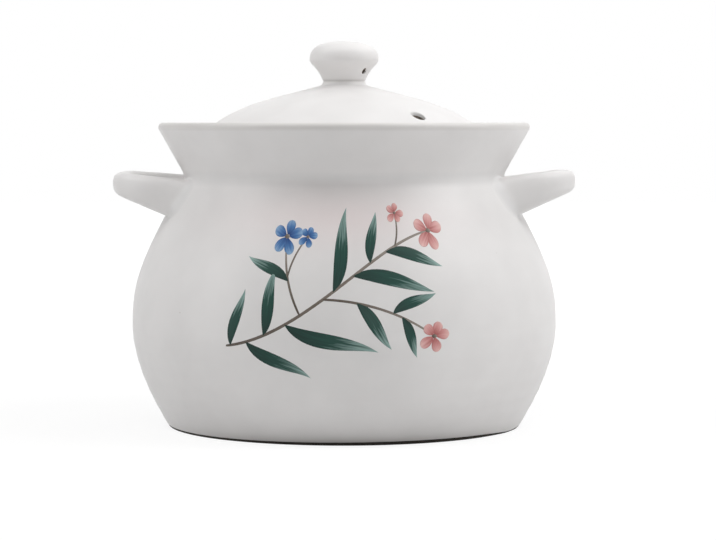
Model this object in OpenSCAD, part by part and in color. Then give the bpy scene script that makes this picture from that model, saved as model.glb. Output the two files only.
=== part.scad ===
// Lidded clay cooking pot: a round thrown body with a flared collar, two pulled loop handles
// smoothed onto the shoulder, and a loose domed lid with a hollow mushroom knob.
// Millimetres, +Z up, origin at the middle of the foot. The front faces -Y, the handles point along X.

/* [Pot body] */
// Outer diameter of the belly at its widest
belly_d = 251; // [225:0.2:280]
// Height of the widest part of the belly above the table
belly_h = 60; // [48:1:72]
// Diameter of the foot at the table
foot_d = 207.4; // [180:0.2:220]
// Lean of the wall from upright where it leaves the foot
foot_lean = 35.7; // [20:0.1:45]
// Rounding of the foot's outer edge
foot_round = 1.5; // [1:0.5:4]
// Outer diameter of the waist under the collar
neck_d = 188.4; // [170:0.2:200]
// Height of the waist above the table
neck_h = 146.5; // [136:0.5:152]
// Radius of the hollow curve at the waist
neck_round = 5; // [2:0.5:9]
// Lean of the shoulder from upright where it meets the waist
shoulder_lean = 29.5; // [18:0.1:38]
// Outer diameter of the rim
rim_d = 219; // [208:0.5:236]
// Height of the rim above the table
rim_h = 178.5; // [172:0.5:192]
// Thickness of the collar, whose lip is a full round
lip_t = 5.5; // [4:0.5:7]
// Thickness of the wall at the belly
wall_t = 7; // [5:0.5:10]
// Thickness of the floor above the table
floor_t = 9; // [6:0.5:14]
// Width of the curve that joins the floor to the wall, in from the foot
floor_curve_w = 28; // [20:1:45]
// Width of the ring that the pot stands on
foot_ring_w = 12; // [6:1:20]
// Depth of the hollow inside the foot ring
foot_hollow_h = 2; // [1:0.5:3]

/* [Pot curves] */
// How long the lower wall keeps the foot's lean, as a share of its height
foot_pull = 0.17; // [0.1:0.01:0.35]
// How long the lower wall stays upright under the widest part, as a share of its height
low_belly_pull = 0.4; // [0.25:0.01:0.55]
// How long the upper wall stays upright above the widest part, as a share of its height
high_belly_pull = 0.27; // [0.2:0.01:0.4]
// How long the upper wall keeps the shoulder's lean, as a share of its height
shoulder_pull = 0.64; // [0.35:0.01:0.65]
// How square the inside corner of the floor is, where 0.55 is a round one
floor_pull = 0.62; // [0.4:0.01:0.75]

/* [Lid seat] */
// Height above the table of the ledge that carries the lid
seat_h = 160; // [156:0.5:166]
// Width of the ledge, from the collar to the throat
ledge_w = 10.5; // [8:0.5:13]
// Upright height of the throat under the ledge
throat_h = 8; // [5:0.5:10]
// Rounding of the ledge's edges
ledge_round = 1.5; // [0.5:0.5:2]
// Gap all round between the lid's edge and the collar
lid_gap = 4.5; // [3:0.5:6]
// Gap all round between the lid's flange and the throat
flange_gap = 2; // [1:0.5:3]

/* [Lid] */
// Rise of the lid's crown above the ledge
lid_rise = 39.4; // [32:0.2:50]
// Thickness of the dome
lid_t = 6; // [4:0.5:8]
// Upright height of the lid's edge
lid_edge_h = 5; // [3.5:0.5:8]
// Rounding of the lid's upper edge
lid_edge_round = 3; // [1:0.5:4]
// Slope of the dome at its crown
crown_slope = 15.9; // [8:0.1:20]
// Slope of the dome at its edge
edge_slope = 45; // [38:0.5:55]
// How long the dome keeps its crown's slope, as a share of its reach
crown_pull = 0.32; // [0.2:0.01:0.5]
// How long the dome keeps its edge's slope, as a share of its reach
edge_pull = 0.41; // [0.25:0.01:0.5]
// Depth of the flange under the lid
flange_h = 8; // [4:0.5:12]
// Thickness of the flange
flange_t = 5; // [4:0.5:7]
// Rounding of the flange's lower edges
flange_round = 1.5; // [0.5:0.5:2]
// Diameter of the steam hole
steam_d = 8; // [5:0.5:10]
// Distance of the steam hole's middle in from the flange
steam_inset = 8.4; // [6:0.2:20]
// Direction of the steam hole, anticlockwise from +X
steam_dir = -52; // [-180:1:180]

/* [Knob] */
// Diameter of the knob's cap
knob_d = 40.8; // [34:0.2:48]
// Height of the knob above its seat on the lid
knob_h = 23.8; // [20:0.2:30]
// Height of the cap's widest part above the knob's seat
knob_wide_h = 13.2; // [11:0.2:15]
// Diameter of the knob's base
knob_base_d = 24.8; // [22:0.2:30]
// Lean of the stem from upright at its base
stem_lean = 18; // [5:1:25]
// How long the stem keeps its lean, as a share of the height to the cap's widest part
stem_pull = 0.68; // [0.5:0.01:0.75]
// How far the cap rolls in under its widest part, as a share of that height
cap_under_pull = 0.26; // [0.15:0.01:0.4]
// How full the cap's side is above its widest part, as a share of the height left
cap_side_pull = 0.94; // [0.55:0.01:1]
// How flat the cap's top is, as a share of its radius
cap_top_pull = 0.35; // [0.2:0.01:0.6]
// Thickness of the knob's wall
knob_t = 4.5; // [3.5:0.5:6]
// Height of the fillet that carries the knob above the crown
boss_h = 3.2; // [2:0.2:5]
// Width of that fillet
boss_w = 4.8; // [4:0.2:9]
// Diameter of the knob's firing vent
vent_d = 3.5; // [2:0.5:5]
// Height of the vent above the knob's seat
vent_h = 6.2; // [5:0.2:8]
// Direction of the vent, anticlockwise from +X
vent_dir = -38; // [-180:1:180]

/* [Handles] */
// Reach of a handle beyond the belly
handle_reach = 10.8; // [6:0.2:24]
// Width of a handle from front to back
handle_w = 74; // [60:1:100]
// Thickness of the bar seen from above
bar_t = 13; // [10:0.5:18]
// Height of the bar at its tip
bar_tip_h = 13.6; // [10:0.2:18]
// Height of the bar level with the waist
bar_root_h = 25.8; // [20:0.2:36]
// Rise of the tip's top above the waist
tip_lift = 4.4; // [0:0.1:10]
// Rise of the root's top above the waist
root_lift = 0; // [-4:0.1:4]
// Extra thickness where the bar is smoothed onto the shoulder
root_flare = 4; // [0:0.5:8]
// Length of the smoothed root
root_flare_l = 16; // [8:1:24]
// Roll of the left handle as set by hand, its front side downwards
left_roll = 1; // [-3:0.5:3]
// Roll of the right handle, its front side downwards
right_roll = -1; // [-3:0.5:3]
// Droop of the left handle's tip
left_droop = 2; // [-3:0.5:3]
// Droop of the right handle's tip
right_droop = 0; // [-3:0.5:3]

/* [Hidden] */

GLAZE = "#e8e6e1";
GLAZE_LID = "#efede9";

// Segments along a curve, along a rounded edge and around a turn
CURVE_N = 14;
EDGE_N = 4;
TURN_N = 160;
// Stations along a handle and points around its bar
BAR_STATIONS = 36;
BAR_SIDES = 20;
// Squareness of the handle's plan and of its bar's section, where 2 is an ellipse
PLAN_POWER = 3.2;
SECTION_POWER = 2.6;
// Pull of a cubic curve that makes a quarter round
ROUND_PULL = 0.55;
// A length that is safely past any wall it cuts
CUT_THROUGH = 40;

// Direction at an angle from upright, leaning outwards, and the same turned a quarter to the right
function lean_dir(a) = [sin(a), cos(a)];
function lean_out(a) = [cos(a), -sin(a)];

// Points of a circular arc about c
function arc(c, r, a0, a1, n = EDGE_N) =
    [for (i = [0:n]) let (a = a0 + (a1 - a0) * i / n) c + r * [cos(a), sin(a)]];

// A point on a cubic curve, its direction there, and a run of points along it
function on_curve(p, t) =
    pow(1 - t, 3) * p[0] + 3 * t * pow(1 - t, 2) * p[1] + 3 * t * t * (1 - t) * p[2] + pow(t, 3) * p[3];
function along_curve(p, t) =
    pow(1 - t, 2) * (p[1] - p[0]) + 2 * t * (1 - t) * (p[2] - p[1]) + t * t * (p[3] - p[2]);
function curve(p, n = CURVE_N) = [for (i = [0:n]) on_curve(p, i / n)];

// The same run of points, moved d to the right of the way it runs
function curve_beside(p, d, n = CURVE_N) =
    [for (i = [0:n])
        let (v = along_curve(p, i / n))
        on_curve(p, i / n) + d * [v.y, -v.x] / norm(v)];

// A run of points without any that repeats the one before it
function distinct(p) = [for (i = [0:len(p) - 1]) if (i == 0 || norm(p[i] - p[i - 1]) > 0.001) p[i]];

// Point of a superellipse with half axes 1 at angle a
function squared(v, power) = sign(v) * pow(abs(v), 2 / power);

// Outer wall of the pot, from the foot to the lip
belly_r = belly_d / 2;
foot_r = foot_d / 2;
neck_r = neck_d / 2;
lip_r = lip_t / 2;
foot_edge = foot_round * tan((90 - foot_lean) / 2);
foot_top = [foot_r, 0] + foot_edge * lean_dir(foot_lean);
waist_c = [neck_r + neck_round, neck_h];
lip_c = [rim_d / 2 - lip_r, rim_h - lip_r];
lip_way = lip_c - waist_c;
flare = atan2(lip_way.x, lip_way.y) + asin((neck_round + lip_r) / norm(lip_way));
shoulder_end = waist_c - neck_round * [cos(shoulder_lean), sin(shoulder_lean)];
upper_h = neck_h - belly_h;

low_wall = [
    foot_top,
    foot_top + foot_pull * belly_h * lean_dir(foot_lean),
    [belly_r, belly_h * (1 - low_belly_pull)],
    [belly_r, belly_h]
];
high_wall = [
    [belly_r, belly_h],
    [belly_r, belly_h + high_belly_pull * upper_h],
    shoulder_end + shoulder_pull * upper_h * [sin(shoulder_lean), -cos(shoulder_lean)],
    shoulder_end
];
outer_wall = distinct(concat(
    arc([foot_r - foot_edge, foot_round], foot_round, -90, -foot_lean),
    curve(low_wall),
    curve(high_wall),
    arc(waist_c, neck_round, 180 + shoulder_lean, 180 - flare),
    arc(lip_c, lip_r, -flare, 180 - flare, 2 * EDGE_N)
));

// Inner wall of the pot, from the collar over the lid's ledge and the throat to the floor
collar_in = lip_c - lip_r * lean_out(flare);
seat_r = collar_in.x - (collar_in.y - seat_h) * tan(flare);
throat_r = seat_r - ledge_w;
seat_edge = ledge_round * tan(45 - flare / 2);
belly_in_r = belly_r - wall_t;
floor_r = foot_r - floor_curve_w;

floor_wall = [
    [belly_in_r, belly_h],
    [belly_in_r, belly_h - floor_pull * (belly_h - floor_t)],
    [floor_r + floor_pull * (belly_in_r - floor_r), floor_t],
    [floor_r, floor_t]
];
inner_wall = distinct(concat(
    arc([seat_r - seat_edge, seat_h + ledge_round], ledge_round, -flare, -90),
    arc([throat_r + ledge_round, seat_h - ledge_round], ledge_round, 90, 180),
    [[throat_r, seat_h - throat_h]],
    curve_beside([for (i = [3:-1:0]) high_wall[i]], wall_t),
    curve(floor_wall)
));

// Lid, seated on the ledge with its flange in the throat
lid_r = seat_r - lid_gap;
flange_r = throat_r - flange_gap;
flange_in_r = flange_r - flange_t;
knob_base_r = knob_base_d / 2;
crown = [knob_base_r + boss_w, seat_h + lid_rise];
knob_seat_h = crown.y + boss_h;
edge_c = [lid_r - lid_edge_round, seat_h + lid_edge_h];
dome_end = edge_c + lid_edge_round * lean_dir(edge_slope);
dome_reach = norm(dome_end - crown);
dome = [
    crown,
    crown + crown_pull * dome_reach * lean_out(crown_slope),
    dome_end - edge_pull * dome_reach * lean_out(edge_slope),
    dome_end
];
boss = [
    [knob_base_r, knob_seat_h],
    [knob_base_r + boss_w / 6, knob_seat_h - boss_h / 2],
    crown - boss_w / 2 * lean_out(crown_slope),
    crown
];
dome_in = curve_beside(dome, lid_t);
dome_in_end = [flange_in_r, lookup(flange_in_r, dome_in)];

// Steam hole, punched straight down through the dome
steam_r = flange_in_r - steam_inset;

// Knob, on top of its fillet
knob_r = knob_d / 2;
knob_in_r = knob_r - knob_t;
knob_wide_z = knob_seat_h + knob_wide_h;
knob_top_z = knob_seat_h + knob_h;
cap_h = knob_h - knob_wide_h;
stem = [
    [knob_base_r, knob_seat_h],
    [knob_base_r, knob_seat_h] + stem_pull * knob_wide_h * lean_dir(stem_lean),
    [knob_r, knob_wide_z - cap_under_pull * knob_wide_h],
    [knob_r, knob_wide_z]
];
cap = [
    [knob_r, knob_wide_z],
    [knob_r, knob_wide_z + cap_side_pull * cap_h],
    [cap_top_pull * knob_r, knob_top_z],
    [0, knob_top_z]
];
cap_in = [
    [0, knob_top_z - knob_t],
    [ROUND_PULL * knob_in_r, knob_top_z - knob_t],
    [knob_in_r, knob_wide_z + ROUND_PULL * (cap_h - knob_t)],
    [knob_in_r, knob_wide_z]
];
stem_in = [
    [knob_in_r, knob_wide_z],
    [knob_in_r, knob_wide_z - cap_under_pull * knob_wide_h],
    [knob_base_r - knob_t, knob_seat_h + ROUND_PULL * knob_wide_h],
    [knob_base_r - knob_t, knob_seat_h]
];

// Handle: the bar's middle runs out from inside the wall, round the tip and back
tip_x = belly_r + handle_reach - bar_t / 2;
arm_y = (handle_w - bar_t) / 2;
start_x = sqrt(pow(neck_r - wall_t, 2) - pow(handle_w / 2 + root_flare, 2));
flare_x = sqrt(pow(neck_r, 2) - pow(arm_y, 2)) + root_flare_l;
handle_pivot = [neck_r, 0, neck_h + tip_lift - bar_tip_h / 2];

function plan_at(t) =
    [start_x + (tip_x - start_x) * squared(sin(t), PLAN_POWER), -arm_y * squared(cos(t), PLAN_POWER)];
function plan_side(t) =
    let (v = plan_at(min(t + 1, 180)) - plan_at(max(t - 1, 0)))
    [v.y, -v.x] / norm(v);
function out_share(x) = (x - neck_r) / (tip_x - neck_r);
function bar_top(x) = neck_h + root_lift + (tip_lift - root_lift) * out_share(x);
function bar_height(x) = bar_root_h + (bar_tip_h - bar_root_h) * out_share(x);
function bar_swell(x) = root_flare * pow(max(0, (flare_x - x) / root_flare_l), 2);
function bar_ring(t) =
    let (m = plan_at(t), side = plan_side(t), swell = min(bar_swell(m.x), root_flare))
    let (half_h = bar_height(m.x) / 2, half_t = bar_t / 2 + swell, mid_z = bar_top(m.x) - half_h)
    [for (j = [0:BAR_SIDES - 1])
        let (a = 360 * j / BAR_SIDES)
        let (across = half_t * squared(cos(a), SECTION_POWER))
        [m.x + across * side.x, m.y + across * side.y, mid_z + half_h * squared(sin(a), SECTION_POWER)]];

bar_points = [for (i = [0:BAR_STATIONS]) each bar_ring(180 * i / BAR_STATIONS)];
bar_faces = concat(
    [for (i = [0:BAR_STATIONS - 1], j = [0:BAR_SIDES - 1])
        let (a = i * BAR_SIDES + j, b = i * BAR_SIDES + (j + 1) % BAR_SIDES)
        each [[a, a + BAR_SIDES, b + BAR_SIDES], [a, b + BAR_SIDES, b]]],
    [[for (j = [0:BAR_SIDES - 1]) j]],
    [[for (j = [0:BAR_SIDES - 1]) BAR_STATIONS * BAR_SIDES + BAR_SIDES - 1 - j]]
);

// The pot's outer form without its hollow, to which the handles are cut
module pot_solid() {
    rotate_extrude($fn = TURN_N)
        polygon(concat([[0, 0]], outer_wall, [[0, outer_wall[len(outer_wall) - 1].y]]));
}

module pot_body() {
    ring_in_r = foot_r - foot_edge - foot_ring_w;
    foot_hollow = [[0, foot_hollow_h], [ring_in_r - foot_hollow_h, foot_hollow_h], [ring_in_r, 0]];
    color(GLAZE)
        rotate_extrude($fn = TURN_N)
            polygon(concat(foot_hollow, outer_wall, inner_wall, [[0, floor_t]]));
}

// A handle's bar as set by hand, before it is cut to the pot
module handle_bar(roll, droop) {
    translate(handle_pivot)
        rotate([roll, droop, 0])
            translate(-handle_pivot)
                polyhedron(bar_points, bar_faces);
}

module handle_left() {
    color(GLAZE)
        difference() {
            mirror([1, 0, 0])
                handle_bar(left_roll, left_droop);
            pot_solid();
        }
}

module handle_right() {
    color(GLAZE)
        difference() {
            handle_bar(right_roll, right_droop);
            pot_solid();
        }
}

module lid_shell() {
    flange_foot = seat_h - flange_h + flange_round;
    rim_edge = concat(
        arc(edge_c, lid_edge_round, 90 - edge_slope, 0),
        arc([lid_r - ledge_round, seat_h + ledge_round], ledge_round, 0, -90)
    );
    flange_edge = concat(
        [[flange_r, seat_h]],
        arc([flange_r - flange_round, flange_foot], flange_round, 0, -90),
        arc([flange_in_r + flange_round, flange_foot], flange_round, -90, -180)
    );
    hollow = [for (i = [CURVE_N:-1:0]) if (dome_in[i].x < flange_in_r - 0.5) dome_in[i]];
    color(GLAZE_LID)
        difference() {
            rotate_extrude($fn = TURN_N)
                polygon(distinct(concat(
                    [[0, knob_seat_h]],
                    curve(boss, EDGE_N),
                    curve(dome),
                    rim_edge,
                    flange_edge,
                    [dome_in_end],
                    hollow,
                    [[0, dome_in[0].y]]
                )));
            rotate([0, 0, steam_dir])
                translate([steam_r, 0, seat_h])
                    cylinder(d = steam_d, h = CUT_THROUGH, $fn = 48);
        }
}

module lid_knob() {
    color(GLAZE_LID)
        difference() {
            rotate_extrude($fn = TURN_N)
                polygon(distinct(concat(curve(stem), curve(cap), curve(cap_in), curve(stem_in))));
            rotate([0, 0, vent_dir])
                translate([0, 0, knob_seat_h + vent_h])
                    rotate([0, 90, 0])
                        cylinder(d = vent_d, h = CUT_THROUGH, $fn = 32);
        }
}

pot_body();
handle_left();
handle_right();
lid_shell();
lid_knob();
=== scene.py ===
"""Looks of a lidded clay cooking pot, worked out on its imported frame.

Every surface is computed with numpy in millimetres, in the frame's own axes: +Z is up, the front faces -Y
and the handles point along X. Angles are in degrees. A mesh is written in metres.
"""

import logging
import math
from dataclasses import dataclass
from enum import Enum, IntEnum
from typing import Any, Sequence

import bpy
import numpy as np
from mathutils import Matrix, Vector

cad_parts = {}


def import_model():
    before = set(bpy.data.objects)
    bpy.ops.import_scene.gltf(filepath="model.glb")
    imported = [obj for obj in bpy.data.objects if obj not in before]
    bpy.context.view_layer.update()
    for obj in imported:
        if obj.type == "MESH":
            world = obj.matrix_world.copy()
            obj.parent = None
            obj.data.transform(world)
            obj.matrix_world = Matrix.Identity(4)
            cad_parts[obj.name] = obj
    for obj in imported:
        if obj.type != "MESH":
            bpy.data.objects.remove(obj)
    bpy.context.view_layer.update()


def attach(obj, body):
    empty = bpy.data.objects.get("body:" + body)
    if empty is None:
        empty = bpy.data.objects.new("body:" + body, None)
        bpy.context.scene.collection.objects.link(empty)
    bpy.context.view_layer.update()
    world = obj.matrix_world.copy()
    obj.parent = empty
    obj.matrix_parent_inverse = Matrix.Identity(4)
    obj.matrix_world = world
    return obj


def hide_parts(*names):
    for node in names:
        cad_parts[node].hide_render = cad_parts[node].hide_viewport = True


LOG = logging.getLogger("cooking_pot")
MM = 0.001
IMAGE_WIDTH_PX = 716
UP = np.array([0.0, 0.0, 1.0])
# Length under which a vector counts as none, and distance under which two points count as one
TINY = 1e-9
SAME = 1e-6
# Sockets of a colour mix: its share, its two colours and, among its outputs, what they give
SHARE, UNDER, OVER, MIXED = 0, 6, 7, 2
# Seed of the brush's small irregularities
SEED = 7


class Body(Enum):
    """The two things that the object comes apart into."""

    POT = "pot"
    LID = "lid"


class Side(IntEnum):
    """The side of the pot that a handle is on, as the sign of its X."""

    LEFT = -1
    RIGHT = 1


class Coat(IntEnum):
    """What covers a face, as the number of its material slot."""

    GLAZED = 0
    BARE = 1
    # Bare clay dark enough to paint the contact shadow at the foot
    DARK = 2


def lean_dir(angle: float) -> np.ndarray:
    """Unit vector (r, z) that leans outwards from upright by an angle."""
    return np.array([math.sin(math.radians(angle)), math.cos(math.radians(angle))])


def lean_out(angle: float) -> np.ndarray:
    """Unit vector (r, z) that points outwards and falls by an angle."""
    return np.array([math.cos(math.radians(angle)), -math.sin(math.radians(angle))])


def unit(vectors: np.ndarray) -> np.ndarray:
    """Vectors of length 1 along the last axis."""
    return vectors / np.maximum(np.linalg.norm(vectors, axis=-1, keepdims=True), TINY)


def smooth_step(low: float, high: float, values: np.ndarray) -> np.ndarray:
    """0 below low, 1 above high, and 3x^2 - 2x^3 of the share of the way between them."""
    share = np.clip((values - low) / (high - low), 0.0, 1.0)
    return share * share * (3.0 - 2.0 * share)


def squared(values: np.ndarray, power: float) -> np.ndarray:
    """Sine or cosine values bent to a superellipse: the sign times the size to the power 2 / power."""
    return np.sign(values) * np.abs(values) ** (2.0 / power)


def line(start: Sequence[float], end: Sequence[float], count: int) -> np.ndarray:
    """Evenly spaced points of a straight line, both ends among them."""
    return np.linspace(np.asarray(start, float), np.asarray(end, float), count)


def arc(centre: Sequence[float], radius: float, start: float, end: float, count: int = 9) -> np.ndarray:
    """Points of a circular arc: the centre plus the radius times (cos a, sin a), for even steps of a.

    Args:
        centre: Middle of the circle as (r, z).
        radius: Radius of the circle.
        start: Angle of the first point.
        end: Angle of the last point.
        count: Number of points.

    Returns:
        The points, one row each.
    """
    a = np.radians(np.linspace(start, end, count))
    return np.asarray(centre, float) + radius * np.stack([np.cos(a), np.sin(a)], axis=-1)


def cubic(pulls: Sequence[Sequence[float]], t: np.ndarray, beside: float = 0.0) -> np.ndarray:
    """Points of a cubic curve, moved square to the right of the way it runs.

    A point is the sum of the four pulls weighted by (1-t)^3, 3t(1-t)^2, 3t^2(1-t) and t^3.

    Args:
        pulls: The four points that pull the curve, each (r, z).
        t: Places along the curve, from 0 to 1.
        beside: Distance that the points are moved to the right.

    Returns:
        The points, one row each.
    """
    p, t = np.asarray(pulls, float), np.asarray(t, float)[:, None]
    points = (1 - t) ** 3 * p[0] + 3 * t * (1 - t) ** 2 * p[1] + 3 * t**2 * (1 - t) * p[2] + t**3 * p[3]
    way = (1 - t) ** 2 * (p[1] - p[0]) + 2 * t * (1 - t) * (p[2] - p[1]) + t**2 * (p[3] - p[2])
    return points + beside * unit(np.stack([way[:, 1], -way[:, 0]], axis=-1))


def lengths_along(points: np.ndarray) -> np.ndarray:
    """Distance of each point from the first, along the line through them."""
    return np.concatenate([[0.0], np.cumsum(np.linalg.norm(np.diff(points, axis=0), axis=1))])


def points_along(points: np.ndarray, wanted: np.ndarray) -> np.ndarray:
    """Points (r, z) or (x, y) at wanted distances along the line through points."""
    run = lengths_along(points)
    return np.stack([np.interp(wanted, run, points[:, k]) for k in (0, 1)], axis=-1)


def pooling(profile: np.ndarray, reach: float = 2.5) -> np.ndarray:
    """How thick the glaze lies on each row of a profile.

    It is minus the sine of the turn between the way in from a reach before and the way out to a reach after, so it
    is over 0 in hollows, where glaze pools, and under 0 on edges, where it draws thin.

    Args:
        profile: Points (r, z) that keep the clay on their left.
        reach: Distance along the profile over which the turn is taken.

    Returns:
        One value for each point, from -1 to 1.
    """
    run = lengths_along(profile)
    a = unit(profile - points_along(profile, run - reach))
    b = unit(points_along(profile, run + reach) - profile)
    return -(a[:, 0] * b[:, 1] - a[:, 1] * b[:, 0])


@dataclass(frozen=True)
class Profile:
    """The outline of a turned piece from its lower pole to its upper one, in runs of glazed or bare clay."""

    points: np.ndarray
    coats: np.ndarray
    starts: tuple[int, ...]

    @classmethod
    def of_runs(cls, runs: Sequence[tuple[np.ndarray, Coat]]) -> "Profile":
        """Joins runs end to end, without the points that repeat the one before them.

        Args:
            runs: Points (r, z) of each run and what covers it.

        Returns:
            The profile, with the coat of each step between two points and the row at which each run starts.
        """
        points, coats, starts = [], [], []
        for run, coat in runs:
            if points and np.linalg.norm(points[-1][-1] - run[0]) < SAME:
                run = run[1:]
            starts.append(sum(len(p) for p in points))
            points.append(run)
            coats.append(np.full(len(run), int(coat)))
        return cls(np.concatenate(points), np.concatenate(coats)[1:], tuple(starts))

    def rows_of(self, run: int) -> slice:
        """The rows of a run, counted from 0, up to where the next one starts."""
        return slice(self.starts[run], self.starts[run + 1])


@dataclass(frozen=True)
class Lathe:
    """A turned surface.

    Row i and turn j give (r cos a, r sin a, z), for the profile's (r, z) at i and the angle a at j.
    """

    profile: Profile
    turns: int = 256
    first: float = 90.0

    def at(self, rows: np.ndarray, turns: np.ndarray) -> np.ndarray:
        """Points at whole or part rows and turns, part rows on a Catmull-Rom curve through the profile.

        Args:
            rows: Rows of the profile.
            turns: Turns, counted from the first direction.

        Returns:
            Points (x, y, z) in the shape that rows and turns have together.
        """
        p = self.profile.points
        i = np.clip(np.floor(rows).astype(int), 0, len(p) - 2)
        t = (rows - i)[..., None]
        p0, p1, p2, p3 = (p[np.clip(i + k, 0, len(p) - 1)] for k in (-1, 0, 1, 2))
        bend = (2 * p0 - 5 * p1 + 4 * p2 - p3) * t**2 + (3 * (p1 - p2) + p3 - p0) * t**3
        r, z = np.moveaxis(p1 + 0.5 * ((p2 - p0) * t + bend), -1, 0)
        a = np.radians(self.first) + 2 * np.pi * np.asarray(turns, float) / self.turns
        return np.stack(np.broadcast_arrays(r * np.cos(a), r * np.sin(a), z), axis=-1)


class Shell:
    """Patches of one closed surface, gathered as whole arrays and then written as one mesh."""

    def __init__(self) -> None:
        """Starts with no points and no faces."""
        self._points: list[np.ndarray] = []
        self._values: list[dict[str, np.ndarray]] = []
        self._faces: list[tuple[np.ndarray, np.ndarray]] = []

    def points(self, at: np.ndarray, **values: np.ndarray) -> np.ndarray:
        """Adds points with named values.

        Args:
            at: Points (x, y, z) in millimetres, in an array of any layout.
            values: Numbers, or vectors of three, that broadcast to that layout.

        Returns:
            The number of each point, in the same layout.
        """
        first = sum(len(p) for p in self._points)
        layout = at.shape[:-1]
        self._points.append(at.reshape(-1, 3))
        spread = {}
        for name, value in values.items():
            value = np.asarray(value, float)
            vector = value.ndim == at.ndim and value.shape[-1] == 3
            full = np.broadcast_to(value, layout + (3,) if vector else layout)
            spread[name] = full.reshape(-1, 3) if vector else full.reshape(-1)
        self._values.append(spread)
        return np.arange(first, first + len(self._points[-1])).reshape(layout)

    def skin(self, rows: np.ndarray, coats: Any = Coat.GLAZED, keep: np.ndarray | None = None) -> None:
        """Adds a quad between each two rows and each two columns, the last column joined to the first.

        Args:
            rows: Numbers of points. A face points along the way of its columns crossed with the way of its rows.
            coats: Material slot, one or one for each step between rows.
            keep: True where a quad is wanted, or None for all.
        """
        a, b = rows[:-1], np.roll(rows[:-1], -1, axis=1)
        c, d = np.roll(rows[1:], -1, axis=1), rows[1:]
        quads = np.stack([a, b, c, d], axis=-1)
        slots = np.broadcast_to(np.reshape(coats, (-1, 1)), a.shape)
        keep = np.ones(a.shape, bool) if keep is None else keep
        self._faces.append((quads[keep], slots[keep]))

    def fan(self, ring: np.ndarray, pole: int, closes: bool, coat: int = Coat.GLAZED) -> None:
        """Closes a ring with triangles to a pole.

        Args:
            ring: Numbers of the ring's points.
            pole: Number of the pole.
            closes: True if the ring is the last row of a skin, false if it is the first.
            coat: Material slot.
        """
        after = np.roll(ring, -1)
        sides = [ring, after] if closes else [after, ring]
        self._faces.append((np.stack([*sides, np.full_like(ring, pole)], axis=-1), np.full(len(ring), int(coat))))

    def tube(
        self, rows: np.ndarray, poles: np.ndarray, coats: Any = Coat.GLAZED, keep: np.ndarray | None = None
    ) -> None:
        """Adds a skin and closes its first and last row with a pole each.

        Args:
            rows: Numbers of points, as for a skin.
            poles: Numbers of the first and the last pole.
            coats: Material slot, one or one for each step between rows.
            keep: True where a quad is wanted, or None for all.
        """
        self.skin(rows, coats, keep)
        first, last = np.ravel(coats)[[0, -1]]
        self.fan(rows[0], poles[0], False, first)
        self.fan(rows[-1], poles[1], True, last)

    def turn(
        self,
        lathe: Lathe,
        ends: tuple[float, float],
        windows: Sequence["Window"] = (),
        slide: np.ndarray | float = 0.0,
        **values: np.ndarray,
    ) -> np.ndarray:
        """Adds a turned surface that is closed by a pole at each end.

        Args:
            lathe: The surface.
            ends: Heights of its first and last pole.
            windows: Parts of its grid that are left open.
            slide: Rows by which points move along the profile, that broadcast to rows by turns.
            values: Named values that broadcast to rows by turns.

        Returns:
            The numbers of its points, rows by turns.
        """
        rows, turns = np.arange(len(lathe.profile.points)), np.arange(lathe.turns)
        numbers = self.points(lathe.at(rows[:, None] + slide, turns[None]), **values)
        keep = np.ones((len(rows) - 1, lathe.turns), bool)
        for w in windows:
            keep[w.rows[0] : w.rows[1], w.turns[0] : w.turns[1]] = False
        self.tube(numbers, self.points(np.array(ends)[:, None] * UP), lathe.profile.coats, keep)
        return numbers

    def write(self, name: str, materials: Sequence[bpy.types.Material], crease: float = 40.0) -> bpy.types.Object:
        """Makes the mesh and its object, at the origin.

        Args:
            name: Name of the piece.
            materials: Materials of its slots.
            crease: Angle between faces past which an edge stays sharp.

        Returns:
            The object, linked to the scene.
        """
        points = np.concatenate(self._points)
        used = np.zeros(len(points), bool)
        for faces, _ in self._faces:
            used[faces] = True
        number = np.cumsum(used) - 1
        mesh = bpy.data.meshes.new(name)
        faces = [face for quads, _ in self._faces for face in number[quads].tolist()]
        mesh.from_pydata((points[used] * MM).tolist(), [], faces)
        mesh.polygons.foreach_set("material_index", np.concatenate([s for _, s in self._faces]).astype(np.int32))
        for key in sorted({k for values in self._values for k in values}):
            wide = max(v[key].ndim for v in self._values if key in v)
            blank = [np.zeros((len(p), 3) if wide == 2 else len(p)) for p in self._points]
            full = np.concatenate([v.get(key, b) for v, b in zip(self._values, blank)])[used]
            layer = mesh.attributes.new(key, "FLOAT_VECTOR" if wide == 2 else "FLOAT", "POINT")
            layer.data.foreach_set("vector" if wide == 2 else "value", full.astype(np.float32).ravel())
        mesh.shade_smooth()
        mesh.set_sharp_from_angle(angle=math.radians(crease))
        for material in materials:
            mesh.materials.append(material)
        made = bpy.data.objects.new(name, mesh)
        bpy.context.scene.collection.objects.link(made)
        return made


@dataclass(frozen=True)
class Window:
    """A rectangle in a lathe's grid that is left open for a hole."""

    rows: tuple[int, int]
    turns: tuple[int, int]

    @classmethod
    def around(cls, row: float, turn: float, half: int) -> "Window":
        """The window that reaches as many rows and turns either way from a place."""
        i, j = round(row), round(turn)
        return cls((i - half, i + half), (j - half, j + half))

    def edge(self) -> tuple[np.ndarray, np.ndarray]:
        """Goes around the window in the order of a face's corners.

        Returns:
            Rows and turns of the points on its edge.
        """
        (r0, r1), (t0, t1) = self.rows, self.turns
        down, over = np.arange(r0, r1), np.arange(t0, t1)
        rows = np.concatenate([np.full_like(over, r0), down, np.full_like(over, r1), down[::-1] + 1])
        turns = np.concatenate([over, np.full_like(down, t1), over[::-1] + 1, np.full_like(down, t0)])
        return rows, turns


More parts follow.
